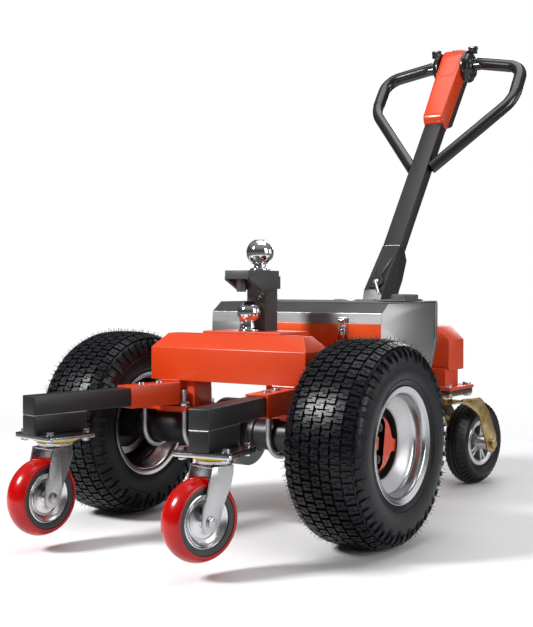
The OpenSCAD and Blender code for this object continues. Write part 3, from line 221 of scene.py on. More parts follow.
# %% Metal finishes
fork_zinc = cloudy_finish("pressed_fork_zinc", (0.52, 0.52, 0.53), (0.42, 0.42, 0.43), (0.22, 0.34),
                          cloud=30, grain=700, bump=0.06, metal=1.0)
zinc = cloudy_finish("bright_zinc", (0.74, 0.74, 0.75), (0.58, 0.58, 0.60), (0.20, 0.32), cloud=30,
                     grain=700, bump=0.06, metal=1.0)
dull_zinc = cloudy_finish("dull_zinc", (0.62, 0.62, 0.63), (0.42, 0.42, 0.44), (0.32, 0.46), cloud=45,
                          grain=700, bump=0.12, metal=1.0)
aluminium = cloudy_finish("satin_aluminium", (0.78, 0.78, 0.79), (0.64, 0.64, 0.66), (0.24, 0.34), cloud=10,
                          grain=1500, bump=0.08, metal=0.9)
rim_metal = cloudy_finish("polished_rim_lip", (0.56, 0.56, 0.57), (0.46, 0.46, 0.48), (0.16, 0.26), cloud=10,
                          grain=1500, bump=0.05, metal=1.0)
silver_paint = cloudy_finish("silver_wheel_paint", (0.66, 0.66, 0.67), (0.58, 0.58, 0.60), (0.30, 0.38),
                             cloud=10, grain=1800, bump=0.05, metal=0.35)
steel = cloudy_finish("machined_steel", (0.60, 0.60, 0.61), (0.48, 0.48, 0.50), (0.25, 0.35), cloud=20,
                      grain=1200, bump=0.1, metal=1.0)
chrome = cloudy_finish("mirror_chrome", (0.80, 0.80, 0.82), (0.72, 0.72, 0.74), (0.03, 0.06), cloud=16,
                       grain=400, bump=0.01, metal=1.0)
print("finishes so far:", len(bpy.data.materials))

# %% [markdown]
# Brushed stainless shows fine lines along one direction. A noise stretched far
# along the brushing gives them, and it feeds the colour, the roughness and a
# shallow bump together, so the lines catch the light as one.

# %% Brushed finishes
def brushed_finish(name, light, dark, rough, stretch, depth=0.00006, metal=1.0):
    mat, tree, shader = new_finish(name, metal=metal)
    coords = tree.nodes.new("ShaderNodeTexCoord")
    mapping = add_node(tree, "ShaderNodeMapping", Scale=stretch)
    lines = add_node(tree, "ShaderNodeTexNoise", Scale=1.0, Detail=6.0, Roughness=0.7)
    clouds = add_node(tree, "ShaderNodeTexNoise", Scale=6.0, Detail=3.0)
    blend = add_node(tree, "ShaderNodeMix", data_type="FLOAT", Factor=0.35)
    mix = add_node(tree, "ShaderNodeMix", data_type="RGBA")
    mix.inputs[6].default_value = (*dark, 1)
    mix.inputs[7].default_value = (*light, 1)
    spread = tree.nodes.new("ShaderNodeMapRange")
    spread.inputs["To Min"].default_value = rough[0]
    spread.inputs["To Max"].default_value = rough[1]
    bumped = add_node(tree, "ShaderNodeBump", Strength=0.35, Distance=depth)
    wire(tree, (coords, "Object", mapping, "Vector"), (coords, "Object", clouds, "Vector"),
         (mapping, "Vector", lines, "Vector"), (lines, "Fac", blend, 2), (clouds, "Fac", blend, 3),
         (blend, 0, mix, "Factor"), (blend, 0, spread, "Value"), (mix, 2, shader, "Base Color"),
         (spread, "Result", shader, "Roughness"), (lines, "Fac", bumped, "Height"),
         (bumped, "Normal", shader, "Normal"))
    return mat


stainless = brushed_finish("brushed_stainless", (0.62, 0.62, 0.61), (0.44, 0.44, 0.44), (0.24, 0.40),
                           (6, 900, 900))
# This orange copy of stainless is a painted reflection of the orange front beam.
stainless_painted_orange_reflection = brushed_finish("stainless_with_painted_orange_reflection", (0.95, 0.10, 0.020), (0.78, 0.08, 0.014),
                                 (0.16, 0.28), (6, 700, 700), depth=0.00003, metal=0.25)
# The darker copy below is a painted dark reflection for the lid's front slope.
stainless_painted_dark_reflection = brushed_finish("brushed_stainless_painted_dark_reflection", (0.17, 0.17, 0.17), (0.11, 0.11, 0.11),
                                 (0.34, 0.48), (6, 700, 700))
stainless_edge = brushed_finish("brushed_stainless_chamfer", (0.40, 0.40, 0.40), (0.24, 0.24, 0.24),
                                (0.26, 0.42), (6, 700, 700))
print("brushed finishes ready")

# %% [markdown]
# Yellow plating drifts between brass, straw and a touch of pink. A distorted
# noise runs through a ramp of these four colours.

# %% Yellow plating
def plated_finish(name):
    mat, tree, shader = new_finish(name, rough=0.3, metal=1.0)
    coords = tree.nodes.new("ShaderNodeTexCoord")
    noise = add_node(tree, "ShaderNodeTexNoise", Scale=22.0, Detail=4.0, Distortion=0.6)
    ramp = tree.nodes.new("ShaderNodeValToRGB")
    stops = ramp.color_ramp.elements
    stops[0].position, stops[0].color = 0.30, (0.26, 0.20, 0.07, 1)
    stops[1].position, stops[1].color = 0.72, (0.66, 0.54, 0.26, 1)
    stops.new(0.50).color = (0.46, 0.34, 0.13, 1)
    stops.new(0.60).color = (0.52, 0.37, 0.22, 1)
    spread = tree.nodes.new("ShaderNodeMapRange")
    spread.inputs["To Min"].default_value = 0.2
    spread.inputs["To Max"].default_value = 0.36
    wire(tree, (coords, "Object", noise, "Vector"), (noise, "Fac", ramp, "Fac"),
         (noise, "Fac", spread, "Value"), (ramp, "Color", shader, "Base Color"),
         (spread, "Result", shader, "Roughness"))
    return mat


yellow_zinc = plated_finish("yellow_plated_steel")
print("finishes in all:", len(bpy.data.materials))

# %% [markdown]
# Each new piece ends the same way: normals out, edges sharper than an angle
# kept crisp, the object at the origin, tied to its body. A short helper does
# this, so no piece is forgotten.

# %% Finish a piece
smallest_panel = 0.0001


def is_panel(face, bend):
    """True for a large face whose only near neighbours are the slim strips of its rounded rim."""
    size = face.calc_area()
    if size < smallest_panel:
        return False
    others = [other for edge in face.edges for other in edge.link_faces if other is not face]
    return not any(other.calc_area() > size / 6 and other.normal.angle(face.normal, 0) < bend
                   for other in others)


def finish_piece(name, mesh_bm, body, material, stands_for=(), crisp=35, recalc=True):
    if recalc:
        bmesh.ops.recalc_face_normals(mesh_bm, faces=mesh_bm.faces)
    mesh_bm.normal_update()
    for face in mesh_bm.faces:
        face.smooth = not is_panel(face, math.radians(crisp))
    mesh = bpy.data.meshes.new(name)
    mesh_bm.to_mesh(mesh)
    mesh_bm.free()
    mesh.set_sharp_from_angle(angle=math.radians(crisp))
    for one in material if isinstance(material, (list, tuple)) else [material]:
        mesh.materials.append(one)
    obj = bpy.data.objects.new(name, mesh)
    bpy.context.scene.collection.objects.link(obj)
    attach(obj, body)
    if stands_for:
        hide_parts(*stands_for)
    return obj


# %% [markdown]
# Shapes come from a few makers: a turned profile, a box, a bar, a nut and a
# cleaned copy of a solid. They share one way to round an edge.

# %% Edges and profiles
def edges_of(verts):
    return {e for v in verts for e in v.link_edges}


def sharp_edges(edges, angle=1.0):
    """The edges whose two faces turn by more than an angle in radians."""
    return [e for e in edges if len(e.link_faces) == 2 and e.calc_face_angle(0) > angle]


def round_edges(bm, edges, radius, segments=2):
    """Rounds some edges of a mesh by a radius in mm."""
    return bmesh.ops.bevel(bm, geom=list(edges), offset=radius * mm, offset_type="OFFSET", segments=segments,
                           profile=0.5, affect="EDGES", clamp_overlap=True, material=-1)


def join(bm, piece):
    """Adds a piece's mesh to another and frees it."""
    mesh = bpy.data.meshes.new("part")
    piece.to_mesh(mesh)
    piece.free()
    bm.from_mesh(mesh)
    bpy.data.meshes.remove(mesh)


def mirrored(half):
    """A profile of (radius, along) points and its mirror image, as one list."""
    return half + [(r, -a) for r, a in half[::-1]]


print("a mirrored profile:", mirrored([(2, 1)]))

# %% [markdown]
# A wheel or a ball is a profile turned on a lathe; boxes and bars make the rest.
# A whole piece that is one profile has its own maker.

# %% Turned and straight shapes
def spun(bm, profile, place, steps=96, closed=True):
    """Turns a profile of (radius, along) points in mm round the local Z of place."""
    points = [bm.verts.new(Vector((r, 0, a)) * mm) for r, a in profile]
    edges = [bm.edges.new(pair) for pair in zip(points, points[1:])]
    if closed:
        edges.append(bm.edges.new((points[-1], points[0])))
    before = set(bm.verts) - set(points)
    bmesh.ops.spin(bm, geom=points + edges, cent=(0, 0, 0), axis=(0, 0, 1), angle=math.tau, steps=steps,
                   use_merge=True, use_duplicate=False)
    fresh = [v for v in bm.verts if v not in before]
    bmesh.ops.remove_doubles(bm, verts=fresh, dist=1e-7)
    fresh = [v for v in bm.verts if v not in before]
    bmesh.ops.transform(bm, matrix=place, verts=fresh)
    return fresh


def axle_place(centre, direction):
    """Local Z along the axle, local Y up as far as it can be."""
    z = Vector(direction).normalized()
    x = Vector((0, 0, 1)).cross(z).normalized()
    y = z.cross(x)
    turn = Matrix((x, y, z)).transposed().to_4x4()
    return Matrix.Translation(centre) @ turn


def block(bm, low_mm, high_mm, place=None, bevel=1.0, segments=2):
    """A box between two corners in mm with softened edges."""
    lo, hi = Vector(low_mm) * mm, Vector(high_mm) * mm
    unit = Matrix.Translation((lo + hi) / 2) @ Matrix.Diagonal((*(hi - lo), 1))
    new = bmesh.ops.create_cube(bm, size=1.0, matrix=unit)["verts"]
    if bevel:
        out = round_edges(bm, edges_of(new), bevel, segments)
        seen = {v for f in out["faces"] for v in f.verts} | {v for v in new if v.is_valid}
        stack = list(seen)
        while stack:
            for e in stack.pop().link_edges:
                for v in e.verts:
                    if v not in seen:
                        seen.add(v)
                        stack.append(v)
        new = list(seen)
    if place is not None:
        bmesh.ops.transform(bm, matrix=place, verts=new)
    return new


def rod(bm, start, end, radius, sides=24, r2=None, cap=0.0):
    """A round bar between two points in metres; radius in mm."""
    start, end = Vector(start), Vector(end)
    along = end - start
    turn = along.to_track_quat("Z", "Y").to_matrix().to_4x4()
    place = Matrix.Translation((start + end) / 2) @ turn
    far = radius if r2 is None else r2
    new = bmesh.ops.create_cone(bm, cap_ends=True, cap_tris=False, segments=sides, radius1=radius * mm,
                                radius2=far * mm, depth=along.length, matrix=place)["verts"]
    if cap:
        round_edges(bm, sharp_edges(edges_of(new)), cap)
    return new


def turned(name, profile, place, body, material, stands_for=(), steps=96, crisp=35):
    """A whole piece made of one turned profile."""
    bm = bmesh.new()
    spun(bm, profile, place, steps=steps)
    return finish_piece(name, bm, body, material, stands_for, crisp=crisp)


print("shape makers ready")

# %% [markdown]
# Folded sheet is a cleaned copy of its solid with only the long edges rounded.
# Nuts come with a washer and a stud end, as they are seen on the machine.

# %% Copies of solids, and nuts
def cad_copy(nodes, soften=1.5, longer=8.0, segments=2, angle=25):
    """A clean copy of CAD nodes with its long sharp edges rounded."""
    bm = bmesh.new()
    for node in [nodes] if isinstance(nodes, str) else nodes:
        bm.from_mesh(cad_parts[node].data)
    bmesh.ops.remove_doubles(bm, verts=bm.verts, dist=1e-6)
    bmesh.ops.dissolve_limit(bm, angle_limit=math.radians(0.6), use_dissolve_boundaries=False,
                             verts=bm.verts, edges=bm.edges)
    sharp = [e for e in sharp_edges(bm.edges, math.radians(angle)) if e.calc_length() > longer * mm]
    if soften and sharp:
        round_edges(bm, sharp, soften, segments)
    return bm


def hex_nut(bm, centre, direction, across, height, washer=0.0, stud=0.0):
    """A nut with rounded corners, with a washer under it and a stud end through it."""
    sideways = abs(Vector(direction).normalized().z) < 0.99
    place = axle_place(centre, direction) if sideways else Matrix.Translation(centre)
    up = place.to_3x3() @ Vector((0, 0, 1))
    if washer:
        rod(bm, centre, centre + up * washer * mm, across * 0.62, sides=28, cap=0.3)
    radius = across * 0.58 * mm
    middle = shifted(place, 0, 0, washer + height / 2)
    new = bmesh.ops.create_cone(bm, cap_ends=True, segments=6, radius1=radius, radius2=radius,
                                depth=height * mm, matrix=middle)["verts"]
    round_edges(bm, edges_of(new), across * 0.05)
    if stud:
        tip = centre + up * (washer + height) * mm
        rod(bm, tip - up * mm, tip + up * stud * mm, across * 0.30, sides=16, cap=0.6)


print("helpers ready")

# %% [markdown]
# The driven tyres are low turf tyres: a smooth carcass with rows of small
# staggered blocks, lugs over the shoulders and stray rubber hairs. A bump map
# would leave the outline flat, so every block is real, and a map from the
# tyre's own section (distance over the crown, distance round it, height)
# bends each flat block onto the carcass.

# %% Tyre section
crown_r = 197
wall = [(114, -72.4), (118, -75.5), (128, -79), (142, -81.6), (156, -82.3), (167, -80.6), (177, -76.4),
        (184.5, -69.8), (189.6, -60), (194.4, -47.5), (196.6, -25)]
section = wall + [(crown_r, 0)] + mirrored(wall)[len(wall):]
inner_wall = mirrored([(101.8, 72.3), (101.8, 60), (112, 62), (122, 68), (145, 74), (166, 72), (180, 60),
                       (188, 30)])
crown_lengths = [0.0]
for (r0, a0), (r1, a1) in zip(section, section[1:]):
    crown_lengths.append(crown_lengths[-1] + math.hypot(r1 - r0, a1 - a0))
middle = crown_lengths[len(wall)]
crown_lengths = [length - middle for length in crown_lengths]


def on_tyre(across, around, height):
    """mm over the crown, mm round it and mm above it, to a point round local Z."""
    i = max(k for k in range(len(section) - 1) if crown_lengths[k] <= across or k == 0)
    t = (across - crown_lengths[i]) / (crown_lengths[i + 1] - crown_lengths[i])
    (r0, a0), (r1, a1) = section[i], section[i + 1]
    dr, da = r1 - r0, a1 - a0
    size = math.hypot(dr, da)
    r = r0 + t * dr + height * da / size
    a = a0 + t * da - height * dr / size
    turn = around / crown_r
    return Vector((r * math.cos(turn), r * math.sin(turn), a)) * mm


print("over the crown from", round(crown_lengths[0]), "to", round(crown_lengths[-1]), "mm")

# %% [markdown]
# One tread block is two flat hooked patches with an S-shaped slit between them.
# Each is extruded, its top is pulled in a little, and it is bent into place.

# %% Tread blocks
def patch(bm, outline, height, draft=0.88):
    """A flat patch from a few corner points in mm, raised into a tapered block."""
    face = bm.faces.new([bm.verts.new((x, y, -1.5)) for x, y in outline])
    up = bmesh.ops.extrude_face_region(bm, geom=[face])["geom"]
    top = [v for v in up if isinstance(v, bmesh.types.BMVert)]
    cx = sum(v.co.x for v in top) / len(top)
    cy = sum(v.co.y for v in top) / len(top)
    for v in top:
        v.co = Vector((cx + (v.co.x - cx) * draft, cy + (v.co.y - cy) * draft, height))
    return top


def tread_parts():
    """Each patch of the tread: kind, place over the crown, place round it, outline and height in mm."""
    parts = []
    half_block = [(-8.9, -8.9), (8.9, -8.9), (9.4, -2.7), (-2.4, -3.1), (0.4, 1.9), (-9.4, 1.5)]
    rounds, row_step, block_height, lug_height = 54, 20.4, 5.6, 4.2
    lug_start, long_lug, short_lug = 72.5, 104, 92
    pitch = math.tau * crown_r / rounds
    for row in range(-3, 4):
        shift = 0.5 * (row % 2)
        for k in range(rounds):
            flip = 1 if (row + k) % 2 else -1
            for end in (-1, 1):
                outline = [(x * flip * end, y * end) for x, y in half_block][::flip]
                parts.append(("block", row * row_step, (k + shift) * pitch, outline, block_height))
    for side in (-1, 1):
        for k in range(rounds):
            outer = long_lug if k % 2 else short_lug
            bar = [(lug_start, -5.2), (lug_start + 12, -6.6), (outer - 3, -5.0), (outer, -2.4),
                   (outer, 2.4), (outer - 3, 4.4), (lug_start + 12, 4.8), (lug_start, 6.6)]
            outline = [(x * side, y) for x, y in bar][::side]
            parts.append(("lug", 0, (k + 0.25) * pitch, outline, lug_height))
    return parts


tread = tread_parts()
print("tread parts on one tyre:", len(tread))


def add_tread(bm):
    for kind, row_at, around, outline, height in tread:
        piece = bmesh.new()
        patch(piece, outline, height)
        if kind == "lug":
            long_edges = [e for e in piece.edges if abs(e.verts[0].co.x - e.verts[1].co.x) > 8]
            bmesh.ops.subdivide_edges(piece, edges=long_edges, cuts=2, use_grid_fill=True)
        bmesh.ops.recalc_face_normals(piece, faces=piece.faces)
        for v in piece.verts:
            v.co = on_tyre(row_at + v.co.x, around + v.co.y, v.co.z)
        join(bm, piece)


# %% [markdown]
# New turf tyres carry thin rubber hairs left by the mould vents. They show
# against the white ground, so they are modelled as slim cones that lean a
# little, on the upper part of the tyre only, clear of the floor.

# %% Build the driven tyres
def wheel_place(side):
    return axle_place(Vector((side * wheel_x, axle_y, axle_z)), (side, 0, 0))


def add_hairs(bm, place):
    rand = random.Random(11)
    hairs, row_step, clear_of_floor = 96, 15.2, 0.012
    for row in range(-6, 7):
        for k in range(hairs):
            across = row * row_step + rand.uniform(-2, 2)
            around = math.tau * crown_r * (k + 0.5 * (row % 2)) / hairs + rand.uniform(-3, 3)
            base = on_tyre(across, around, 2.0)
            tip = on_tyre(across + rand.uniform(-3, 3), around + rand.uniform(-4, 4), rand.uniform(9.5, 14))
            world = place @ tip
            if world.z > clear_of_floor:
                rod(bm, place @ base, world, 0.62, sides=4, r2=0.3)


def build_tyre(which, side):
    place = wheel_place(side)
    bm = bmesh.new()
    spun(bm, section + inner_wall, Matrix.Identity(4), steps=128)
    for r, a in ((126.5, 78.9), (152, 82.6)):
        for end in (-1, 1):
            ring = [(r - 1.6, end * (a - 1.2)), (r, end * (a + 0.7)), (r + 1.6, end * (a - 0.6)),
                    (r, end * (a - 2.5))]
            spun(bm, ring, Matrix.Identity(4), steps=128)
    bmesh.ops.recalc_face_normals(bm, faces=bm.faces)
    add_tread(bm)
    bmesh.ops.transform(bm, matrix=place, verts=bm.verts)
    add_hairs(bm, place)
    half_width = 0.3958
    for v in bm.verts:
        v.co.x = max(-half_width, min(half_width, v.co.x))
    return finish_piece("turf_tyre_" + which, bm, "drive_wheel_" + which, rubber, ["tyre_" + which],
                        crisp=32, recalc=False)


for which, side in both_sides:
    tyre = build_tyre(which, side)
    print(tyre.name, "faces:", len(tyre.data.polygons))

# %% [markdown]
# The rim is a pressed steel drop-centre rim in silver: a rolled lip, a bead
# shelf, a step, and a deep well that carries the disc. One closed profile is
# spun, with small corner radii drawn in, because a modifier bevel on a spun
# shell would also round the thin edges away.

# %% Rim profile
def build_rim(which, side):
    outer = [(114, 74.6), (113.2, 75.5), (111.6, 75.4), (109.6, 74.2), (106, 73.4), (102.2, 72.6),
             (99.6, 70.6), (98.0, 67.5), (97.4, 62), (97.0, 54), (96.4, 50.4), (94.8, 48.6), (92.6, 47.6),
             (91.2, 45.6), (89.6, 43.6), (86.5, 41.2), (78, 34.2), (72.4, 29.4), (70.8, 27.6), (70.2, 25.4),
             (70.1, 4.6)]
    inner = [(58.2, 4.5), (58.2, -3.4), (73.0, -3.4), (73.0, 24.2), (88.0, 35.2), (88.2, -30), (90, -44),
             (98.4, -52), (99, -68), (104, -72.5), (111, -75.2), (114, -75.4)]
    back = [(114, -72.6), (104.5, -72.4), (101.4, -69), (101.4, -50), (91.4, -42), (91.2, 42), (101.4, 50),
            (101.4, 69), (104.5, 72.4), (113.4, 73.4)]
    painted_within, black_below = 93.5 * mm, 25.2 * mm
    bm = bmesh.new()
    spun(bm, outer + inner + back, Matrix.Identity(4), steps=160)
    for face in bm.faces:
        spot = face.calc_center_median()
        if spot.z > 0 and math.hypot(spot.x, spot.y) < painted_within:
            face.material_index = 1 if spot.z > black_below else 2
    bmesh.ops.transform(bm, matrix=wheel_place(side), verts=bm.verts)
    return finish_piece("drop_centre_rim_" + which, bm, "drive_wheel_" + which,
                        [rim_metal, silver_paint, black_coat], ["rim_" + which], crisp=50)


# %% [markdown]
# Each hub carries a black disc with two nuts and an orange cover that leaves the
# nuts free. The rims are made here too, each with its own hub.

# %% Rims, hubs and covers
def nut_places(side):
    """Places of the hub's two nuts, on a circle round the axle and a little off upright."""
    circle, disc_face = 31, 12.4
    turns = [math.radians(90 - side * 9 + 180 * k) for k in range(2)]
    return [shifted(wheel_place(side), circle * math.cos(turn), circle * math.sin(turn), disc_face)
            for turn in turns]


def build_hub(which, side):
    bm = bmesh.new()
    disc = [(16.1, 4.5), (16.1, 12.4), (60, 12.4), (64, 13.0), (67, 13.0), (69, 12.0), (69.6, 10.0),
            (69.6, 4.6), (60, 4.5), (57.9, 4.2), (36, 4.0), (34, 0), (34, -57.5), (16.1, -57.5)]
    spun(bm, disc, wheel_place(side), steps=96)
    for spot in nut_places(side):
        spun(bm, [(17.2, -0.2), (17.2, 2.2), (18.2, 2.6), (18.2, -0.2)], spot, steps=40)
        hex_nut(bm, spot.to_translation(), (side, 0, 0), 17, 9.5, washer=1.6, stud=2.0)
    finish_piece("hub_disc_" + which, bm, "drive_wheel_" + which, black_coat,
                 ["hub_" + which], crisp=40)


def build_cover(which):
    bm = cad_copy("hub_cover_" + which, soften=0)
    face_x = wheel_x + 16 * mm
    rims = [e for e in sharp_edges(bm.edges, math.radians(60))
            if abs(e.verts[0].co.x - e.verts[1].co.x) < 1e-5 and abs(e.verts[0].co.x) > face_x]
    round_edges(bm, rims, 1.8, segments=3)
    finish_piece("scalloped_cover_" + which, bm, "drive_wheel_" + which, orange_plastic,
                 ["hub_cover_" + which], crisp=40)


def build_nut_rings(which, side):
    bm = bmesh.new()
    for spot in nut_places(side):
        spun(bm, [(10.4, 0.1), (10.4, 1.4), (13.6, 1.7), (14.0, 1.4), (14.0, 0.1)], spot, steps=40)
    finish_piece("nut_rings_" + which, bm, "drive_wheel_" + which, zinc)


for which, side in both_sides:
    build_rim(which, side)
    build_hub(which, side)
    build_cover(which)
    build_nut_rings(which, side)
    for hidden in ("axle_shaft_", "pinion_"):
        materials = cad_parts[hidden + which].data.materials
        materials.clear()
        materials.append(steel)

# %% [markdown]
# The orange frame is welded sheet. Copies of its solids are cleaned, and only
# the long sharp edges are rounded, which is what folded sheet shows; small
# bore edges stay sharp, so the bevel never folds over itself.

# %% Orange frame
def dress(name, nodes, body, material, soften=1.5, longer=8.0, segments=2, crisp=35):
    bm = cad_copy(nodes, soften=soften, longer=longer, segments=segments)
    nodes = [nodes] if isinstance(nodes, str) else nodes
    return finish_piece(name, bm, body, material, nodes, crisp=crisp)


dress("front_beam_shell", "front_beam", "frame", orange, soften=2.2, longer=14, segments=3)
dress("rear_beam_shell", "rear_beam", "frame", orange, soften=2.2, longer=20, segments=3)
dress("arm_sockets", "saddles", "frame", orange, soften=1.2, longer=14)
dress("handle_cheeks", "handle_bracket", "frame", orange, soften=1.0, longer=12)

# %% [markdown]
# Weld beads join the sockets to the beam. A bead is a chain of short overlapping
# ripples; a row of short tapered bars along the joint gives that cheaply.

# %% Weld beads and clamp bolts
splay = math.radians(9.79)
mouth_x, mouth_y = 165.4, -169.1
u_bolt_columns, u_bolt_leg = (108, 218), 43.3
axle_up = 203
rear_x, rear_y = 167, 628


def weld(bm, start, end, radius=2.2, step=3.4):
    count = max(2, int((end - start).length * 1000 / step))
    for k in range(count):
        a = start.lerp(end, k / count)
        b = start.lerp(end, (k + 1.25) / count if k < count - 1 else 1)
        rod(bm, a, b, radius, sides=8, r2=radius * 0.86)


def arm_point(s, out, z):
    """A point out along the middle of a front arm, from its socket's mouth, in mm."""
    return at(s * mouth_x + s * out * math.sin(splay), mouth_y - out * math.cos(splay), z)


bm = bmesh.new()
for s in (-1, 1):
    weld(bm, at(s * 119, -45.5, 306.2), at(s * 171, -45.5, 306.2))
    weld(bm, at(s * 172.4, -44, 306.2), at(s * 172.4, 44, 306.2))
    weld(bm, at(s * 119, -46, 253), at(s * 171, -46, 253))
finish_piece("socket_welds", bm, "frame", orange)

bm = bmesh.new()
for s in (-1, 1):
    for out in (-45, -93):
        centre = arm_point(s, out, 302)
        rod(bm, centre, centre + rise(1.2), 10.5, sides=28, cap=0.3)
        rod(bm, centre + rise(1), centre + rise(4.5), 8.0, sides=28, cap=0.9)
        rod(bm, centre + rise(4), centre + rise(4.8), 3.6, sides=6)
    for x in u_bolt_columns:
        for y in (-u_bolt_leg, u_bolt_leg):
            hex_nut(bm, at(s * x, y, 252), (0, 0, 1), 18, 9, washer=1.4)
for s in (-1, 1):
    for i in (-45, 45):
        for j in (-54, 54):
            spot = at(s * rear_x + i, rear_y + j, 0)
            hex_nut(bm, spot + rise(262), (0, 0, 1), 18, 5, washer=1.2)
            rod(bm, spot + rise(234), spot + rise(262), 5.9, sides=20)
            hex_nut(bm, spot + rise(234.4), (0, 0, 1), 18, 5.4)
finish_piece("frame_bolt_set", bm, "frame", zinc, ["frame_bolts"])
print("welds and bolts done")

# %% [markdown]
# U-bolts are bent rod with rolled threads on their upper ends. The bend is a
# half ring made by spinning a small circle; the thread is a stack of fine
# rings, close enough to a helix at this size and far lighter.

# %% U-bolts
thread_start, thread_pitch = 262, 1.5
bm = bmesh.new()
for s in (-1, 1):
    for x in u_bolt_columns:
        centre = at(s * x, 0, axle_up)
        start = Matrix.Translation(at(s * x, u_bolt_leg, axle_up))
        loop = bmesh.ops.create_circle(bm, cap_ends=False, radius=6 * mm, segments=20, matrix=start)["verts"]
        bmesh.ops.spin(bm, geom=loop + list(edges_of(loop)), cent=centre, axis=(1, 0, 0), angle=-math.pi,
                       steps=28, use_merge=False, use_duplicate=False)
        for y in (-u_bolt_leg, u_bolt_leg):
            rod(bm, at(s * x, y, axle_up), at(s * x, y, thread_start), 6, sides=20)
            rod(bm, at(s * x, y, thread_start), at(s * x, y, 287), 5.3, sides=20, cap=0.8)
            for k in range(16):
                turn_at = Matrix.Translation(at(s * x, y, thread_start + k * thread_pitch))
                spun(bm, [(5.0, 0.0), (5.95, 0.75), (5.0, 1.5)], turn_at, steps=20)
finish_piece("u_bolt_set", bm, "frame", dull_zinc, ["u_bolts"])

# %% [markdown]
# The axle tube has turned steps and a ring of screws, the gearbox two raised
# bands, and each motor a grooved can. All are dark, and mostly in shadow.

# %% Axle tube, gearbox and motors
bm = bmesh.new()
for s in (-1, 1):
    place = axle_place(at(0, 0, axle_up), (s, 0, 0))
    spun(bm, [(16.2, 32.2), (36, 32.2), (37, 33.2), (37, 44), (35.2, 46), (35.2, 52), (37, 54), (37, 60),
              (33.4, 62), (33.4, 88), (36.8, 90), (36.8, 246), (35.8, 247.8), (30, 247.8), (16.2, 247.6)],
         place, steps=64)
    for k in range(8):
        turn = math.tau * (k + 0.5) / 8
        spot = local(place, 28.5 * math.cos(turn), 28.5 * math.sin(turn), 60.5)
        rod(bm, spot, spot + Vector((s * 3 * mm, 0, 0)), 3.2, sides=12, cap=0.5)
finish_piece("axle_housing", bm, "frame", black_coat, ["axle_tubes"])

bm = cad_copy(["gearbox_case", "gearbox_cover"], soften=0)
for a in (-31.9, -27, 25.4, 31.0):
    spun(bm, [(64, a), (68.98, a), (68.98, a + 0.9), (64, a + 0.9)],
         axle_place(at(0, 0, axle_up), (1, 0, 0)), steps=96)
finish_piece("gearbox_housing", bm, "frame", black_gloss, ["gearbox_case", "gearbox_cover"])

bm = bmesh.new()
for s in (-1, 1):
    spun(bm, [(7, 32.2), (40, 32.2), (41.8, 34), (41.8, 40), (40.6, 42), (40.6, 86), (41.6, 88), (41.6, 97),
              (38, 99.8), (7, 99.8)], axle_place(at(0, 80, axle_up), (s, 0, 0)), steps=64)
finish_piece("drive_motors", bm, "frame", black_coat, ["motors"])

# %% [markdown]
# The tow balls are turned and chromed: a ball with a small flat on top, a waist
# and a flared collar. A spun profile follows the lathe's own cut.

# %% Hitch post and tow balls
dress("ball_post", "hitch_post", "frame", post_grey, soften=1.2, longer=9, segments=2)


def ball_profile(radius, neck, collar, centre):
    """A tow ball's outline in mm above its seat: a small flat, the ball, the waist and the collar."""
    flat = 0.92
    start, end = math.acos(flat), math.pi - math.asin(neck / radius)
    turns = [start + (end - start) * k / 24 for k in range(25)]
    ball = [(radius * math.sin(turn), centre + radius * math.cos(turn)) for turn in turns]
    waist = [(neck * 0.97, 8.5), (neck * 1.04, 7.0), (collar * 0.86, 5.4), (collar * 0.97, 4.4),
             (collar, 3.4), (collar, 0.6), (collar * 0.98, 0), (0.0, 0)]
    return [(0.0, centre + radius * flat)] + ball + waist


for name, node, y, radius, seat, centre in (
    ("upper_tow_ball", "upper_ball", 82, 29.35, 540, 579.35),
    ("lower_tow_ball", "lower_ball", 41.3, 25.4, 411, 451.4),
):
    bm = bmesh.new()
    profile = ball_profile(radius, 13, 22, centre - seat)
    spun(bm, profile, Matrix.Translation(at(0, y, seat)), steps=72, closed=False)
    rod(bm, at(0, y, seat - 17.9), at(0, y, seat + 0.2), 11.9, sides=32)
    finish_piece(name, bm, "frame", chrome, [node], crisp=40)
print("hitch done")

# %% [markdown]
# Each front arm is two black square tubes, one on the other, welded along the
# seam. Two softened boxes leave that seam as a real groove, and a thin bright
# line of weld lies in it, as on the real arm.

# %% Front arms and their plates
seam_up, plate_low, plate_middle, plate_top = 260.6, 213.2, 219.4, 223.2
swivel_out = 171.6


def arm_place(s):
    return Matrix.Translation(at(s * mouth_x, mouth_y, 0)) @ Matrix.Rotation(s * splay, 4, "Z")


def rounded_plate(bm, half_x, half_y, z0, z1, corner, place):
    """A plate with round corners and softened rims, in mm. It has to be the first piece in its mesh."""
    new = block(bm, (-half_x, -half_y, z0), (half_x, half_y, z1), None, bevel=0)
    posts = [e for e in edges_of(new) if abs(e.verts[0].co.z - e.verts[1].co.z) > mm]
    round_edges(bm, posts, corner, segments=6)
    round_edges(bm, sharp_edges(bm.edges, 1.2), 0.6)
    bmesh.ops.transform(bm, matrix=place, verts=bm.verts)


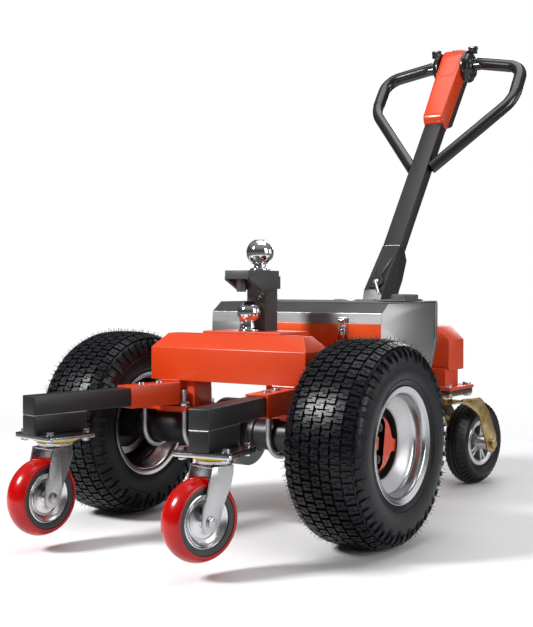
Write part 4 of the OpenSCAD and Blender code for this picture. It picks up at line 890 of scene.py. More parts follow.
for which, s in both_sides:
    place = arm_place(s)
    body = "arm_" + which
    bm = bmesh.new()
    block(bm, (-19.5, -233.6, 260.8), (19.5, 108, 298), place, bevel=2.0, segments=3)
    block(bm, (-19.5, -233.6, plate_top), (19.5, -109.6, 260.4), place, bevel=2.0, segments=3)
    finish_piece("arm_tubes_" + which, bm, body, black_coat, ["front_arm_" + which])
    bm = bmesh.new()
    for x in (-19.2, 19.2):
        rod(bm, local(place, x, -232.5, seam_up), local(place, x, -110.6, seam_up), 0.55, sides=8)
    rod(bm, local(place, -18.8, -233.3, seam_up), local(place, 18.8, -233.3, seam_up), 0.55, sides=8)
    finish_piece("arm_seam_" + which, bm, body, dull_zinc)
    swivel = shifted(place, 0, -swivel_out, 0)
    bm = bmesh.new()
    rounded_plate(bm, 57, 57, plate_middle, plate_top, 9, swivel)
    finish_piece("arm_plate_" + which, bm, body, black_gloss)
    bm = bmesh.new()
    rounded_plate(bm, 57, 57, plate_low, plate_middle, 9, swivel)
    for i in (-42, 42):
        for j in (-42, 42):
            spot = local(swivel, i, j, 0)
            hex_nut(bm, spot + rise(plate_top), (0, 0, 1), 13.5, 5.2, washer=1.2)
            rod(bm, spot + rise(207.2), spot + rise(223.5), 4.9, sides=16)
            rod(bm, spot + rise(212), spot + rise(plate_low), 8, sides=24)
            rod(bm, spot + rise(206.8), spot + rise(212), 7.2, sides=24, cap=1.4)
    finish_piece("caster_plate_" + which, bm, body, zinc, ["front_plate_" + which])
    ring = [(14.4, 207.6), (14.4, 213.1), (42, 213.1), (42.5, 212.4), (42.5, 208.2), (41.6, 207.4),
            (36, 207.3)]
    turned("yellow_seal_ring_" + which, ring, swivel, body, yellow_ring, steps=64)

# %% [markdown]
# The front casters have pressed zinc forks and red polyurethane treads. The
# fork legs are flat outlines, extruded and rounded, each with a shallow bent
# panel outside; the wheel is three spun rings: tread, core and ridged disc.

# %% Plates and wheel axes
def plate_from_outline(bm, outline, x0, x1, place, soften=1.0, segments=2):
    """A flat plate in mm: a Y Z outline with its thickness along X and rounded rims."""
    face = bm.faces.new([bm.verts.new((x0 * mm, y * mm, z * mm)) for y, z in outline])
    up = bmesh.ops.extrude_face_region(bm, geom=[face])["geom"]
    top = [v for v in up if isinstance(v, bmesh.types.BMVert)]
    bmesh.ops.translate(bm, vec=((x1 - x0) * mm, 0, 0), verts=top)
    new = set(top) | set(face.verts)
    rims = [e for e in edges_of(new) if abs(e.verts[0].co.x - e.verts[1].co.x) < 1e-7]
    out = round_edges(bm, rims, soften, segments)
    verts = {v for v in new if v.is_valid} | {v for f in out["faces"] for v in f.verts}
    bmesh.ops.transform(bm, matrix=place, verts=list(verts))


def facet(bm, corners, place):
    """A shallow bent panel on a plate: the hull of a few (x, y, z) corners in mm."""
    new = [bm.verts.new(Vector(corner) * mm) for corner in corners]
    bmesh.ops.convex_hull(bm, input=new)
    bmesh.ops.transform(bm, matrix=place, verts=[v for v in new if v.is_valid])


def arc(cy, cz, r, start, end, count=9):
    """Points round a centre, from one angle to another in degrees."""
    turns = [math.radians(start + (end - start) * k / count) for k in range(count + 1)]
    return [(cy + r * math.cos(turn), cz + r * math.sin(turn)) for turn in turns]


def swap_axes(side=1):
    """Turns local Z to X and local X to Y, which lays a spun profile along X."""
    return Matrix(((0, 0, side, 0), (side, 0, 0, 0), (0, 1, 0, 0), (0, 0, 0, 1)))


print("an arc of three points:", arc(0, 0, 1, 0, 90, 2))

# %% [markdown]
# Each fork swivels by its own angle, as in the photo, and its wheel trails
# behind the swivel's axis.

# %% Front casters
front_trail, front_axle = 35, 102


def swivel_place(s):
    turn = math.radians(-13.9 if s > 0 else -3.5)
    spot = local(arm_place(s), 0, -swivel_out, 0)
    return Matrix.Translation((spot.x, spot.y, 0)) @ Matrix.Rotation(turn, 4, "Z")


for which, s in both_sides:
    place = swivel_place(s)
    body = "front_swivel_" + which
    bm = bmesh.new()
    spun(bm, [(0.01, 206.6), (27, 206.6), (34, 205.4), (34.8, 203.8), (34, 199), (30, 195.6), (0.01, 195.6)],
         place, steps=64)
    rod(bm, local(place, 0, 0, 206), local(place, 0, 0, 211.8), 14.1, sides=32)
    block(bm, (-30, -30.5, 191.8), (30, 16.5, 196.2), place, bevel=1.6)
    leg = arc(-front_trail, front_axle, 19.4, 172, 345, 14) + [
        (-11, 111), (-4.2, 131), (4.9, 148.6), (12.4, 167.6), (16, 182), (16.5, 196), (-30.6, 196),
        (-35.6, 177), (-43.4, 150), (-50.6, 127)]
    bend = [(30, -20, 194), (30, 14, 194), (30, -14, 116), (32.05, -20, 194), (33.2, 14.4, 194),
            (33.2, 13.6, 178), (33.0, 2, 148), (32.6, -12, 116)]
    for side in (-1, 1):
        x0, x1 = sorted((side * 28, side * 32))
        plate_from_outline(bm, leg, x0, x1, place, soften=1.2)
        facet(bm, [(side * x, y, z) for x, y, z in bend], place)
        hex_nut(bm, local(place, side * 32.8, -front_trail, front_axle),
                place.to_3x3() @ Vector((side, 0, 0)), 17, 4.2, washer=1.0, stud=1.6 if side < 0 else 0.0)
    rod(bm, local(place, -32, -front_trail, front_axle), local(place, 32, -front_trail, front_axle), 5.9,
        sides=20)
    finish_piece("pressed_fork_" + which, bm, body, fork_zinc, ["front_fork_" + which])
    wheel = shifted(place, 0, -front_trail, front_axle) @ swap_axes()
    body = "front_wheel_" + which
    half_tread = [(60.2, -24.4), (64.2, -25), (66.4, -23.6), (70.4, -17.5), (73.6, -10), (74.9, -3)]
    half_core = [(48.2, -20), (49.6, -22), (58.6, -23.4), (60.1, -22.8)]
    half_disc = [(6.2, 26.6), (10.5, 26.6), (11.8, 25.6), (12.6, 20), (15, 16.4), (20, 13.6), (26, 12.2),
                 (30.4, 12.0), (31.4, 13.2), (33.6, 13.4), (34.8, 12.4), (40, 14.6), (43.6, 17.6),
                 (45.2, 19.8), (46.6, 20.6), (48.3, 20.0)]
    turned("red_tread_" + which, mirrored(half_tread), wheel, body, red_tread,
           ["front_tread_" + which], steps=128, crisp=50)
    turned("core_ring_" + which, mirrored(half_core), wheel, body, grey_core, crisp=40)
    turned("ridged_disc_" + which, mirrored(half_disc), wheel, body, zinc, ["front_core_" + which],
           crisp=25)

# %% [markdown]
# Behind, two pneumatic casters swivel under the rear beam on yellow-plated
# forks. The fork's leg rakes back in two flats with a bright bend between them.

# %% Rear caster plates
rear_trail, rear_axle = 147, 106.5
for name, z0, z1, slot, material, nodes in (
    ("rear_caster_top_plates", 240, 246, "yellow_zinc", yellow_zinc, ["rear_caster_plates"]),
    ("rear_gaskets", 246, 254, "yellow_zinc", black_coat, ()),
):
    bm = bmesh.new()
    for s in (-1, 1):
        one = bmesh.new()
        rounded_plate(one, 58, 67, z0, z1, 10, Matrix.Translation(at(s * rear_x, rear_y, 0)))
        join(bm, one)
    finish_piece(name, bm, "frame", material, nodes)

# %% [markdown]
# The tyre has two grooved bands and small ribs over its shoulder. Five pairs of
# spokes, thin at both faces, leave the wheel open.

# %% Rear forks and wheels
for which, s in both_sides:
    place = Matrix.Translation(at(s * rear_x, rear_y, 0)) @ Matrix.Rotation(math.radians(-8.8), 4, "Z")
    body = "rear_swivel_" + which
    bm = bmesh.new()
    spun(bm, [(0.01, 239.6), (24, 239.6), (29.4, 238.4), (30, 236), (28, 227), (26, 223.7), (0.01, 223.7)],
         place, steps=64)
    rod(bm, local(place, 0, 0, 239), local(place, 0, 0, 245.5), 14.9, sides=32)
    block(bm, (-55.5, -32, 218.8), (55.5, 44, 223.7), place, bevel=1.8)
    leg = [(14.7, 228.6), (14.7, 216.7), (32.3, 213.2), (70.6, 195), (89.7, 182), (105.8, 147.1)]
    leg += arc(rear_trail, rear_axle, 23, 182, 350, 14)
    leg += [(168.6, 122), (168, 127.9), (136, 189), (105, 221), (91.1, 228.6)]
    bend = [(54, 84, 196), (54, 107, 150), (54, 118, 204), (54, 134, 186), (56.1, 84, 196), (56.1, 107, 150),
            (57.6, 113, 208), (57.6, 133, 188)]
    for side in (-1, 1):
        x0, x1 = sorted((side * 51.1, side * 56))
        plate_from_outline(bm, leg, x0, x1, place, soften=1.4, segments=3)
        facet(bm, [(side * x, y, z) for x, y, z in bend], place)
        x0, x1 = sorted((side * 50.4, side * 57.2))
        block(bm, (x0, 16, 224.4), (x1, 90, 228.6), place, bevel=1.2)
        hex_nut(bm, local(place, side * 56, rear_trail, rear_axle), place.to_3x3() @ Vector((side, 0, 0)),
                22, 7, washer=1.6)
    rod(bm, local(place, -56, rear_trail, rear_axle), local(place, 56, rear_trail, rear_axle), 7.9, sides=24)
    finish_piece("raked_fork_" + which, bm, body, yellow_zinc, ["rear_fork_" + which])
    wheel = shifted(place, 0, rear_trail, rear_axle) @ swap_axes()
    body = "rear_wheel_" + which
    bm = bmesh.new()
    outside = [(58.5, 22.4), (61, 25), (64.5, 27.6), (74, 30.8), (82.5, 31.8), (87, 29.2), (92, 24.8),
               (97, 20.8), (101, 17.2), (103.2, 15.2), (102.2, 14.6), (102.2, 13.4), (105.0, 12.4),
               (105.4, 7.2), (103.4, 6.4), (103.4, 5.2), (106.3, 4.4)]
    inside = [(58.5, -16), (64, -21), (80, -26), (92, -18), (98.5, -8)]
    spun(bm, mirrored(outside) + mirrored(inside), wheel, steps=96)
    rib = [(87.5, 26), (90, 27.8), (99, 21.8), (103.4, 17.4), (101.5, 14.5), (97.5, 18)]
    for side in (-1, 1):
        for k in range(44):
            spin = wheel @ Matrix.Rotation(math.tau * (k + (0.5 if side > 0 else 0)) / 44, 4, "Z")
            facet(bm, [(r, y, side * a) for r, a in rib for y in (-1.9, 1.9)], spin)
    finish_piece("ribbed_tyre_" + which, bm, body, rubber, ["rear_tyre_" + which], crisp=40)
    bm = bmesh.new()
    spun(bm, mirrored([(46, 22.4), (47.5, 24.0), (52, 24.8), (57, 25.0), (58.5, 23.6)]), wheel, steps=96)
    spun(bm, mirrored([(8.1, 50.6), (14.6, 50.6), (15.9, 49), (16, 25), (21, 19)]), wheel, steps=48)
    for k in range(5):
        for off in (-9, 9):
            spin = wheel @ Matrix.Rotation(math.tau * k / 5 + math.radians(off), 4, "Z")
            block(bm, (15, -3.1, 2), (47.6, 3.1, 20.6), spin, bevel=1.4)
            block(bm, (15, -3.1, -20.6), (47.6, 3.1, -2), spin, bevel=1.4)
    finish_piece("spoked_rim_" + which, bm, body, aluminium, ["rear_rim_" + which], crisp=40)
    turned("dark_web_" + which, mirrored([(20.9, -1.8), (46.1, -1.8)]), wheel, body,
           black_coat, steps=64)

# %% [markdown]
# The battery box is folded from brushed stainless sheet. Its fold lines are small
# radii, so each sheet is an outline drawn out across the machine. The tub keeps
# its hollow, since the lid opens.

# %% Battery tub
floor_z, back_sheet = 340, [(483, 379), (483, 468.8), (481, 468.8), (481, 379.6)]
side_sheet = [(210, 315), (451, 315), (483, 379), (483, 468.8), (243, 468.8), (212.3, 446.2), (212.3, 424.6),
              (210, 424.6)]
front_slope = [(212.4, 424), (214.4, 424), (214.4, 445.2), (244, 466.8), (244, 468.8), (243, 468.8),
               (212.4, 446.2)]
bm = bmesh.new()
for s in (-1, 1):
    x0, x1 = sorted((s * 224, s * 226))
    plate_from_outline(bm, side_sheet, x0, x1, home, soften=0.4)
    x0, x1 = sorted((s * 76, s * 224.2))
    block(bm, (x0, 449, 315), (x1, 451, floor_z), home, bevel=0)
for outline, half_width in (
    ([(211, floor_z), (463, floor_z), (464, 342), (211, 342)], 224.2),
    ([(449, 315), (451, 315)] + back_sheet, 44),
    ([(461.5, floor_z), (463.5, floor_z)] + back_sheet, 224.2),
    (front_slope, 224.2),
):
    plate_from_outline(bm, outline, -half_width, half_width, home, soften=0.2)
finish_piece("tub_sheet", bm, "frame", stainless, ["battery_tub"])

# Right of this edge the front panel takes the orange copy of stainless: a painted reflection of the orange
# beam.
painted_reflection_edge = -0.11
bm = bmesh.new()
block(bm, (-225.9, 209.9, floor_z), (225.9, 212, 424.6), home, bevel=0.5)
for x0, x1 in ((-225.9, -76), (-44, 44), (76, 225.9)):
    block(bm, (x0, 209.9, 315), (x1, 212, 340.2), home, bevel=0.3)
bmesh.ops.bisect_plane(bm, geom=bm.verts[:] + bm.edges[:] + bm.faces[:], plane_co=(painted_reflection_edge, 0, 0),
                       plane_no=(1, 0, 0))
for face in bm.faces:
    if face.calc_center_median().x < painted_reflection_edge:
        face.material_index = 1
finish_piece("tub_front_panel", bm, "frame", [stainless_painted_orange_reflection, stainless])
bm = bmesh.new()
for s in (-1, 1):
    x0, x1 = sorted((s * 225.6, s * 227.4))
    plate_from_outline(bm, [(471, 384), (483, 380), (483, 468.6), (471, 468.6)], x0, x1, home, soften=0.5)
    plate_from_outline(bm, [(440, 317), (451, 316), (483, 380), (471, 384)], x0, x1, home, soften=0.5)
finish_piece("tub_back_flanges", bm, "frame", stainless_edge)

# %% [markdown]
# The lid's two outlines, over and under the sheet, hold the same number of
# points, so each strip between them is a clean four-sided face.

# %% Rounded corners and folded sheet
def fillet(a, b, c, radius, count=5):
    """Points of a rounded corner at b, between a and c."""
    a, b, c = Vector(a), Vector(b), Vector(c)
    u, v = (a - b).normalized(), (c - b).normalized()
    half = math.acos(max(-1, min(1, u.dot(v)))) / 2
    reach = radius / math.tan(half)
    middle = b + (u + v).normalized() * (radius / math.sin(half))
    p, q = b + u * reach - middle, b + v * reach - middle
    return [tuple(middle + p.slerp(q, k / count)) for k in range(count + 1)]


def folded_strip(bm, upper, lower, x0, x1, place):
    """A bent sheet: matching upper and lower (y, z) lines in mm, drawn out along X."""
    low_up, low_down, high_up, high_down = [
        [bm.verts.new(local(place, x, y, z)) for y, z in line] for x in (x0, x1) for line in (upper, lower)]
    last = len(upper) - 1
    for k in range(last):
        bm.faces.new((low_up[k], low_up[k + 1], high_up[k + 1], high_up[k]))
        bm.faces.new((low_down[k + 1], low_down[k], high_down[k], high_down[k + 1]))
        bm.faces.new((low_up[k + 1], low_up[k], low_down[k], low_down[k + 1]))
        bm.faces.new((high_up[k], high_up[k + 1], high_down[k + 1], high_down[k]))
    for k in (0, last):
        bm.faces.new((low_up[k], high_up[k], high_down[k], low_down[k]))


print("a rounded corner has", len(fillet((0, 9), (0, 0), (9, 0), 2)), "points")

# %% [markdown]
# The lid carries the catches of the two latches, the hinge's barrel and the base
# of the master switch, and its front slope is painted darker: a painted dark
# reflection.

# %% Lid, switch base and seal
foot, knee, brow, back = (210, 425), (210, 449), (243, 473), (483, 473)
outer = [foot] + fillet(foot, knee, brow, 3.4) + fillet(knee, brow, back, 4.4) + [back]
foot, knee, brow, back = (212, 425), (212, 448), (243.7, 471), (483, 471)
inner = [back] + fillet(back, brow, knee, 2.4) + fillet(brow, knee, foot, 1.4) + [foot]
latch_x = 132
bm = bmesh.new()
folded_strip(bm, outer, inner[::-1], -226, 226, home)
bm.normal_update()
# The front slope's faces take the darker stainless, a painted dark reflection.
for face in bm.faces:
    if abs(face.normal.y) > 0.3 and abs(face.normal.z) > 0.3 and face.calc_area() > 0.002:
        face.material_index = 1
for x in (-latch_x, latch_x):
    block(bm, (x - 12, 206.5, 428.5), (x + 12, 210.2, 439), home, bevel=0.8)
    block(bm, (x - 8, 203.9, 434.6), (x + 8, 207, 438.4), home, bevel=1.0)
rod(bm, at(-18.2, 489, 469), at(18.2, 489, 469), 5.7, sides=28)
block(bm, (-18.2, 465, 473), (18.2, 489, 475), home, bevel=0.6)
finish_piece("folded_lid", bm, "lid", [stainless, stainless_painted_dark_reflection])
bm = bmesh.new()
block(bm, (128, 345, 473), (214, 434, 476), home, bevel=1.0)
for y in (351, 428):
    for x in (134, 208):
        rod(bm, at(x, y, 475.6), at(x, y, 477.4), 3.4, sides=16, cap=0.6)
finish_piece("switch_base", bm, "lid", grey_plastic, ["lid"])
dress("lid_seal_strip", "lid_seal", "lid", seal_rubber, soften=0.4, longer=9, segments=1)
dress("lid_hinge_leaf", "lid_hinge", "frame", stainless_edge, soften=0.6, longer=6, segments=1)

# %% [markdown]
# Inside the box lie two sealed batteries with terminals and a finned motor
# controller. Draw latches hold the lid, and a dark master switch sits on it.

# %% Batteries and controller
bm = bmesh.new()
bmt = bmesh.new()
for s in (-1, 1):
    x0, x1 = sorted((s * 5, s * 170))
    block(bm, (x0, 225, 342), (x1, 405, 449), home, bevel=3, segments=3)
    block(bm, (x0 + 8, 233, 448), (x1 - 8, 397, 452), home, bevel=1.6)
    for y in (252, 378):
        rod(bmt, at(s * 30, y, 450), at(s * 30, y, 460), 6.5, sides=20, cap=1)
        hex_nut(bmt, at(s * 30, y, 456), (0, 0, 1), 13, 5)
finish_piece("battery_cases", bm, "frame", black_plastic, ["batteries"])
finish_piece("battery_terminals", bmt, "frame", yellow_zinc)
lo, hi = [[v * 1000 for v in corner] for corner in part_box("controller")]
fins, fin_height = 14, 14
bm = bmesh.new()
block(bm, lo, (hi[0], hi[1], hi[2] - fin_height), bevel=1.5)
for k in range(fins):
    x = lo[0] + 6 + (hi[0] - lo[0] - 12) * k / (fins - 1)
    block(bm, (x - 2, lo[1] + 2, hi[2] - fin_height - 1), (x + 2, hi[1] - 2, hi[2]), bevel=0.6, segments=1)
finish_piece("finned_controller", bm, "frame", aluminium, ["controller"])

# %% [markdown]
# The switch is a knurled knob with a grip bar. A latch is a bent plate and a
# wire bail that reaches up to the lid's catch.

# %% Switch and latches
knob_x, knob_y, knurls = 183, 402, 24
bm = bmesh.new()
knob = Matrix.Translation(at(knob_x, knob_y, 0))
spun(bm, [(0.01, 485.6), (17.0, 485.6), (18.4, 486.4), (19.2, 487.9), (20.4, 488.3), (27.6, 488.3),
          (29.6, 487.2), (30.2, 485), (30.2, 479.8), (31, 479), (31, 476.6), (30.4, 476.35), (0.01, 476.35)],
     knob, steps=96)
for k in range(knurls):
    spin = knob @ Matrix.Rotation(math.tau * k / knurls, 4, "Z")
    block(bm, (28.6, -1.3, 479.6), (30.9, 1.3, 486.8), spin, bevel=0.5, segments=1)
block(bm, (-16.5, -3.6, 485), (16.5, 3.6, 488.2), knob @ Matrix.Rotation(0.6, 4, "Z"), bevel=1.2)
rod(bm, at(knob_x, knob_y, 471.2), at(knob_x, knob_y, 477), 6.6, sides=24)
finish_piece("switch_knob", bm, "power_knob", grey_plastic, ["power_knob"])

bm = bmesh.new()
for s in (-1, 1):
    base = Matrix.Translation(at(s * latch_x, 0, 0))
    block(bm, (-12, 207.2, 381), (12, 210.3, 421.3), base, bevel=0.8)
    for i in (-1, 1):
        x0, x1 = sorted((i * 8.4, i * 12))
        block(bm, (x0, 200.2, 381.2), (x1, 209, 388.6), base, bevel=1.0)
        rod(bm, local(base, i * 6, 207.4, 416.5), local(base, i * 6, 205.8, 416.5), 1.9, sides=14, cap=0.6)
finish_piece("latch_plates", bm, "frame", stainless_edge, ["latch_bases"])
for which, s in both_sides:
    base = Matrix.Translation(at(s * latch_x, 0, 0))
    bm = bmesh.new()
    block(bm, (-7.8, 201.1, 385), (7.8, 202.9, 413.6), base, bevel=0.5)
    block(bm, (-3, 200.2, 392), (3, 201.6, 409), base, bevel=0.6)
    block(bm, (-7.8, 199.6, 410.6), (7.8, 202.6, 413.9), base, bevel=1.0)
    for half, y, z, radius, sides in (
        (12, 203.5, 385, 1.9, 16),
        (8, 203.5, 385, 2.7, 16),
        (7.9, 202.5, 433.4, 1.45, 14),
        (7.9, 202.5, 419, 1.1, 12),
    ):
        rod(bm, local(base, -half, y, z), local(base, half, y, z), radius, sides=sides)
    for x in (-6.5, 6.5):
        rod(bm, local(base, x, 202.5, 403), local(base, x, 202.5, 433.4), 1.45, sides=14)
    finish_piece("latch_bail_" + which, bm, "latch_" + which, chrome, ["latch_" + which],
                 crisp=45)

# %% [markdown]
# A handle arm of black square tube carries the loop. The loop is one swept tube
# with two bends a side; sweeping a ring of points along the bent path keeps the
# tube round through the corners.

# %% Sweep a tube
def sweep(bm, points, radii, normal, sides=28):
    """A round tube through points in one plane, given the plane's normal and each point's radius in mm."""
    turns = [math.tau * j / sides for j in range(sides)]
    rings = []
    for k, point in enumerate(points):
        ahead = points[min(k + 1, len(points) - 1)] - points[max(k - 1, 0)]
        across = normal.cross(ahead).normalized()
        spokes = [across * math.cos(turn) + normal * math.sin(turn) for turn in turns]
        rings.append([bm.verts.new(point + spoke * radii[k] * mm) for spoke in spokes])
    for a, b in zip(rings, rings[1:]):
        for j in range(sides):
            bm.faces.new((a[j], a[(j + 1) % sides], b[(j + 1) % sides], b[j]))
    bm.faces.new(rings[0][::-1])
    bm.faces.new(rings[-1])


def between(a, b, share):
    """The point a share of the way from a to b, in a plane."""
    return a[0] + (b[0] - a[0]) * share, a[1] + (b[1] - a[1]) * share


print("halfway from (0, 0) to (4, 2):", between((0, 0), (4, 2), 0.5))

# %% [markdown]
# The arm is a copy of its solid, and two thin bars draw the joint between its
# foot and its tube.

# %% Handle arm and its seam
dress("handle_post", "handle_arm", "handle", black_coat, soften=1.7, longer=14, segments=3)
seam_place = Matrix.Translation(at(0, 682, 612)) @ Matrix.Rotation(math.radians(-35.3), 4, "X")
bm = bmesh.new()
rod(bm, local(seam_place, -23.5, 0.1, 0.6), local(seam_place, 23.5, 0.1, 0.6), 0.5, sides=8)
for x in (-24.8, 24.8):
    rod(bm, local(seam_place, x, 1.2, 0), local(seam_place, x, 31, 0), 0.5, sides=8)
finish_piece("handle_seam", bm, "handle", dull_zinc)

# %% [markdown]
# The loop's path is half a loop: a straight leg, a wide bend, a tight bend and
# the grip, a little thicker where the sleeve begins. The other half mirrors it.

# %% Loop
loop_frame = Matrix.Translation(at(0, 938.105, 946.022)) @ Matrix.Rotation(math.radians(-34.5), 4, "X")
corner_a, corner_b, loop_x, grip_x = 78.4, 198.4, 209.5, 68
bend_a, bend_b, turn_a, turn_b = 90, 50, 39.07, 76.0
rise_a, rise_b = math.radians(turn_a), math.radians(turn_b)
reach_a, reach_b = bend_a * math.tan(rise_a / 2), bend_b * math.tan(rise_b / 2)
tube_foot = (33 - 6, -139 - 6 / math.tan(rise_a))
bend_start = (loop_x - reach_a * math.sin(rise_a), corner_a - reach_a * math.cos(rise_a))
path = [tube_foot] + [between(tube_foot, bend_start, k / 6) for k in range(1, 6)]
path += arc(loop_x - bend_a, corner_a + reach_a, bend_a, -turn_a, 0, 12)
step_at = len(path)
path += arc(loop_x - bend_b, corner_b - reach_b, bend_b, 0, turn_b, 18)
last, grip_end = path[-1], (grip_x, corner_b + (loop_x - grip_x) / math.tan(rise_b))
path += [between(last, grip_end, share) for share in (0.1, 0.4, 0.7, 0.965, 0.985, 1.0)]
radii = [16.6] * (step_at - 3) + [16.7, 17.2, 17.4] + [17.45] * (len(path) - step_at - 2) + [16.9, 15.6]
normal = loop_frame.to_3x3() @ Vector((0, 1, 0))
bm = bmesh.new()
for side in (-1, 1):
    sweep(bm, [local(loop_frame, side * x, 0, s) for x, s in path], radii, normal * side, sides=40)
rod(bm, local(loop_frame, -85, 0, 225), local(loop_frame, 85, 0, 225), 13.9, sides=36)
finish_piece("loop_tube", bm, "handle", black_gloss, ["loop_handle"], crisp=40)
print("loop done, points on its path:", len(path))

# %% [markdown]
# The lever is a short bent rod that comes out of a ring and ends in a round tip.

# %% Lock lever
lock = Matrix.Translation(at(0, 599.7, 516.3)) @ Matrix.Rotation(math.radians(49.3), 4, "X")
ring = [(8.6, 0.4), (8.6, 5.4), (9.4, 6.1), (14.5, 6.1), (15.2, 4.9), (18.6, 4.9), (19.2, 6.1), (20.8, 6.1),
        (21.6, 5.2), (21.6, 0.4)]
turned("lock_ring", ring, lock, "handle", black_gloss, steps=72)
lean, elbow, start_z = math.radians(31), 6.8, 4
down = Vector((math.sin(lean), -math.cos(lean), 0))
quarter = [math.pi / 2 * k / 9 for k in range(1, 9)]
rod_path = [(0, 1), (0, start_z)]
rod_path += [(elbow * (1 - math.cos(turn)), start_z + elbow * math.sin(turn)) for turn in quarter]
rod_path += [(out, start_z + elbow) for out in (elbow, 24, 50, 54.5, 55.8)]
points = [lock @ (down * out * mm + rise(z)) for out, z in rod_path]
radii = [4.4] * 3 + [4.2] * (len(points) - 5) + [3.6, 2.4]
bm = bmesh.new()
sweep(bm, points, radii, (lock.to_3x3() @ Vector((0, 0, 1)).cross(down)).normalized(), sides=24)
rod(bm, local(lock, 0, 0, -8), local(lock, 0, 0, 6.2), 7.8, sides=28, cap=0.8)
finish_piece("lock_lever_rod", bm, "lock_lever", zinc, ["lock_lever"], crisp=50)

# %% [markdown]
# The control head is an orange cover with wide soft edges on a black shell.
# Each is one tapered prism with rounded rims, and the cover's panel line is a
# fine U-shaped seam drawn just in its skin.

# %% Tapered shapes
def tapered(bm, outline, low, top, length, place, soften, segments=5, flat_y=None):
    """A prism of a Y Z outline in mm; its half width goes from low at z 0 to top at z length."""
    sides = [[bm.verts.new(Vector((s * (low + (top - low) * z / length), y, z)) * mm) for y, z in outline]
             for s in (-1, 1)]
    bm.faces.new(sides[0])
    bm.faces.new(sides[1][::-1])
    count = len(outline)
    for k in range(count):
        after = (k + 1) % count
        bm.faces.new((sides[0][after], sides[0][k], sides[1][k], sides[1][after]))
    verts = sides[0] + sides[1]
    edges = [e for e in edges_of(verts)
             if flat_y is None or not all(abs(v.co.y - flat_y * mm) < 1e-6 for v in e.verts)]
    out = round_edges(bm, edges, soften, segments)
    every = {v for v in verts if v.is_valid} | {v for f in out["faces"] for v in f.verts}
    bmesh.ops.transform(bm, matrix=place, verts=list(every))


def on_cover(x, s):
    """A point just in the cover's skin, x across and s up the head, in mm."""
    return local(loop_frame, x, -(35.05 - max(0, s - 240) * 8 / 30), s)


print("cover skin at its middle:", on_cover(0, 200))

# %% [markdown]
# The cover and the shell meet in one flat plane, so that edge stays sharp.

# %% Control head
head_length, split_y, hub_z = 270, 12, 225
bm = bmesh.new()
tapered(bm, [(split_y, 0), (-20, 0), (-35, 15), (-35, 240), (-27, head_length), (split_y, head_length)],
        30, 36, head_length, loop_frame, soften=7.5, flat_y=split_y)
finish_piece("head_cover_shell", bm, "handle", orange_plastic, ["head_cover"], crisp=60)
half_seam = [(-27.5, 262), (-26.5, 190), (-24.5, 176), (-19, 166.5), (-10, 162)]
seam = half_seam + [(0, 160.8)] + [(-x, s) for x, s in half_seam[::-1]]
smooth = [between(a, b, t / 4) for a, b in zip(seam, seam[1:]) for t in range(4)] + [seam[-1]]
bm = bmesh.new()
sweep(bm, [on_cover(x, s) for x, s in smooth], [0.45] * len(smooth), normal, sides=6)
finish_piece("cover_seam", bm, "handle", black_plastic)
bm = bmesh.new()
tapered(bm, [(split_y, 1.5), (38, 32), (38, 238), (split_y, 268.5)], 29, 35, head_length, loop_frame,
        soften=6, flat_y=split_y)
block(bm, (-26, -14, -2.5), (26, 18, 8), loop_frame, bevel=2.5)
finish_piece("head_back_shell", bm, "handle", black_plastic, ["head_shell"], crisp=60)

# %% [markdown]
# The throttle is a disc on each side with a bent paddle. The belly button is a
# soft blue pad on the head's far end.

# %% Throttle and belly button
bm = bmesh.new()
hub = shifted(loop_frame, 0, 0, hub_z)
paddle = hub @ Matrix.Rotation(math.radians(40), 4, "X")
for side in (-1, 1):
    spun(bm, [(14.2, 36.5), (43.8, 36.5), (45.3, 38), (45.4, 44), (44.2, 45.6), (41.6, 46), (40.6, 45),
              (39, 44.9), (37.8, 46.2), (36.6, 52.2), (34.8, 53.8), (31.2, 54.2), (29.4, 53), (27, 51.8),
              (23, 52.2), (20.5, 55.2), (18.8, 57.6), (17.2, 58.2), (14.2, 58.2)], hub @ swap_axes(side),
         steps=96)
    x0, x1 = sorted((side * 43.2, side * 69.6))
    block(bm, (x0, -4, 33), (x1, 4, 54.6), paddle, bevel=2.4, segments=3)
    block(bm, (x0, -4, 44), (x1, 7.5, 54.6), paddle, bevel=2.2, segments=3)
finish_piece("throttle_discs", bm, "throttle", black_gloss, ["throttle"], crisp=40)
bm = bmesh.new()
block(bm, (-17, -20, 263.5), (17, 0, 279), loop_frame, bevel=4.2, segments=4)
finish_piece("belly_button_pad", bm, "belly_button", blue_plastic, ["belly_button"], crisp=60)

# %% [markdown]
# The floor is a pale disc that keeps the soft shadow. It fades to nothing with
# distance, so no horizon line shows against the white background.

# %% Floor
bm = bmesh.new()
bmesh.ops.create_circle(bm, cap_ends=True, segments=96, radius=3.4)
floor_mesh = bpy.data.meshes.new("studio_floor")
bm.to_mesh(floor_mesh)
bm.free()
floor_finish = bpy.data.materials.new("pale_floor")
floor_finish.use_nodes = True
tree = floor_finish.node_tree
tree.nodes.clear()
coords = add_node(tree, "ShaderNodeTexCoord")
reach = add_node(tree, "ShaderNodeVectorMath", operation="LENGTH")
fade = add_node(tree, "ShaderNodeMapRange", interpolation_type="SMOOTHSTEP",
                **{"From Min": 0.95, "From Max": 2.3})
matt = add_node(tree, "ShaderNodeBsdfDiffuse", Color=(0.80, 0.803, 0.81, 1))
clear = add_node(tree, "ShaderNodeBsdfTransparent")
both = add_node(tree, "ShaderNodeMixShader")
out = add_node(tree, "ShaderNodeOutputMaterial")
wire(tree, (coords, "Object", reach, 0), (reach, "Value", fade, "Value"), (fade, "Result", both, "Fac"),
     (matt, "BSDF", both, 1), (clear, "BSDF", both, 2), (both, "Shader", out, "Surface"))
floor_mesh.materials.append(floor_finish)
floor = bpy.data.objects.new("studio_floor", floor_mesh)
bpy.context.scene.collection.objects.link(floor)
print("floor laid")

# %% [markdown]
# The photo is a cut-out product shot: white all round, a strong soft light at
# the front left, and dark parts that keep bright streaks on their edges. The
# world is white to the camera and darker to the rest, which keeps black black.

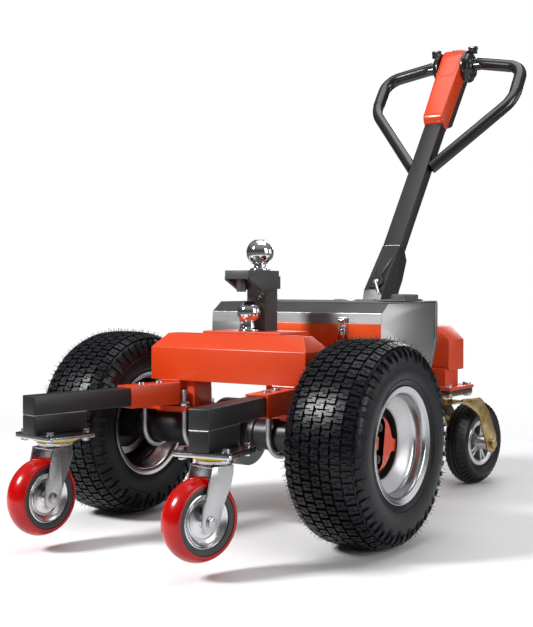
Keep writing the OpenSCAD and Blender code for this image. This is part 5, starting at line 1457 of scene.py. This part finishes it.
# %% Background
world = bpy.data.worlds.new("white_studio")
bpy.context.scene.world = world
world.use_nodes = True
tree = world.node_tree
tree.nodes.clear()
rays = add_node(tree, "ShaderNodeLightPath")
coords = add_node(tree, "ShaderNodeTexCoord")
split = add_node(tree, "ShaderNodeSeparateXYZ")
shade = add_node(tree, "ShaderNodeValToRGB")
stops = shade.color_ramp.elements
stops[0].position, stops[0].color = 0.0, (0.55, 0.55, 0.56, 1)
stops[1].position, stops[1].color = 1.0, (0.85, 0.86, 0.88, 1)
for place, grey in ((0.49, 0.40), (0.53, 0.16), (0.66, 0.20), (0.80, 0.62)):
    stops.new(place).color = (grey, grey, grey * 1.02, 1)
height = add_node(tree, "ShaderNodeMapRange", **{"From Min": -1.0, "From Max": 1.0})
seen = add_node(tree, "ShaderNodeMath", operation="MAXIMUM")
white = add_node(tree, "ShaderNodeBackground", Color=(1, 1, 1, 1), Strength=1.0)
room = add_node(tree, "ShaderNodeBackground", Strength=0.40)
mix = add_node(tree, "ShaderNodeMixShader")
out = add_node(tree, "ShaderNodeOutputWorld")
wire(tree, (coords, "Generated", split, 0), (split, "Z", height, "Value"),
     (height, "Result", shade, "Fac"), (shade, "Color", room, "Color"), (rays, "Is Camera Ray", seen, 0),
     (rays, "Is Transmission Ray", seen, 1), (seen, "Value", mix, "Fac"), (room, "Background", mix, 1),
     (white, "Background", mix, 2), (mix, "Shader", out, "Surface"))
print("background set")

# %% [markdown]
# Five area lamps: the key at the front left, a weak box above, a fill for the
# side that faces right, and two behind that draw the edges.

# %% Lights
def lamp(name, spot, aim, size, power, wide=None):
    light = bpy.data.lights.new(name, "AREA")
    light.energy = power
    light.size = size
    if wide:
        light.shape = "RECTANGLE"
        light.size_y = wide
    obj = bpy.data.objects.new(name, light)
    obj.location = spot
    obj.rotation_euler = (Vector(aim) - Vector(spot)).to_track_quat("-Z", "Y").to_euler()
    bpy.context.scene.collection.objects.link(obj)
    return obj


lamp("key_left", (-1.7, -3.0, 2.6), (0, 0, 0.3), 0.8, 195, 0.8)
lamp("top_box", (0.2, 0.2, 3.2), (0, 0, 0.3), 2.4, 40, 2.4)
lamp("side_right", (3.2, -0.3, 1.3), (0.2, 0, 0.4), 1.2, 42, 2.0)
lamp("back_right", (2.7, 2.1, 1.0), (0.2, 0.2, 0.4), 2.0, 12, 1.6)
lamp("back_edge", (-0.6, 3.0, 2.0), (0, 0.4, 0.8), 1.0, 30, 2.0)
print("lights set")

# %% [markdown]
# The camera was solved from the photo: it stands to the machine's front right,
# half a metre up, and looks down by less than two degrees.

# %% Camera
eye = bpy.data.cameras.new("photo_camera")
eye.lens = 64.23
eye.sensor_width = 36
camera = bpy.data.objects.new("photo_camera", eye)
camera.location = at(1371.14, -1901.1, 507.25)
camera.rotation_euler = (math.radians(88.59), 0, math.radians(34.33))
bpy.context.scene.collection.objects.link(camera)
bpy.context.scene.camera = camera
bpy.context.scene.view_settings.view_transform = "Standard"
print("camera set")
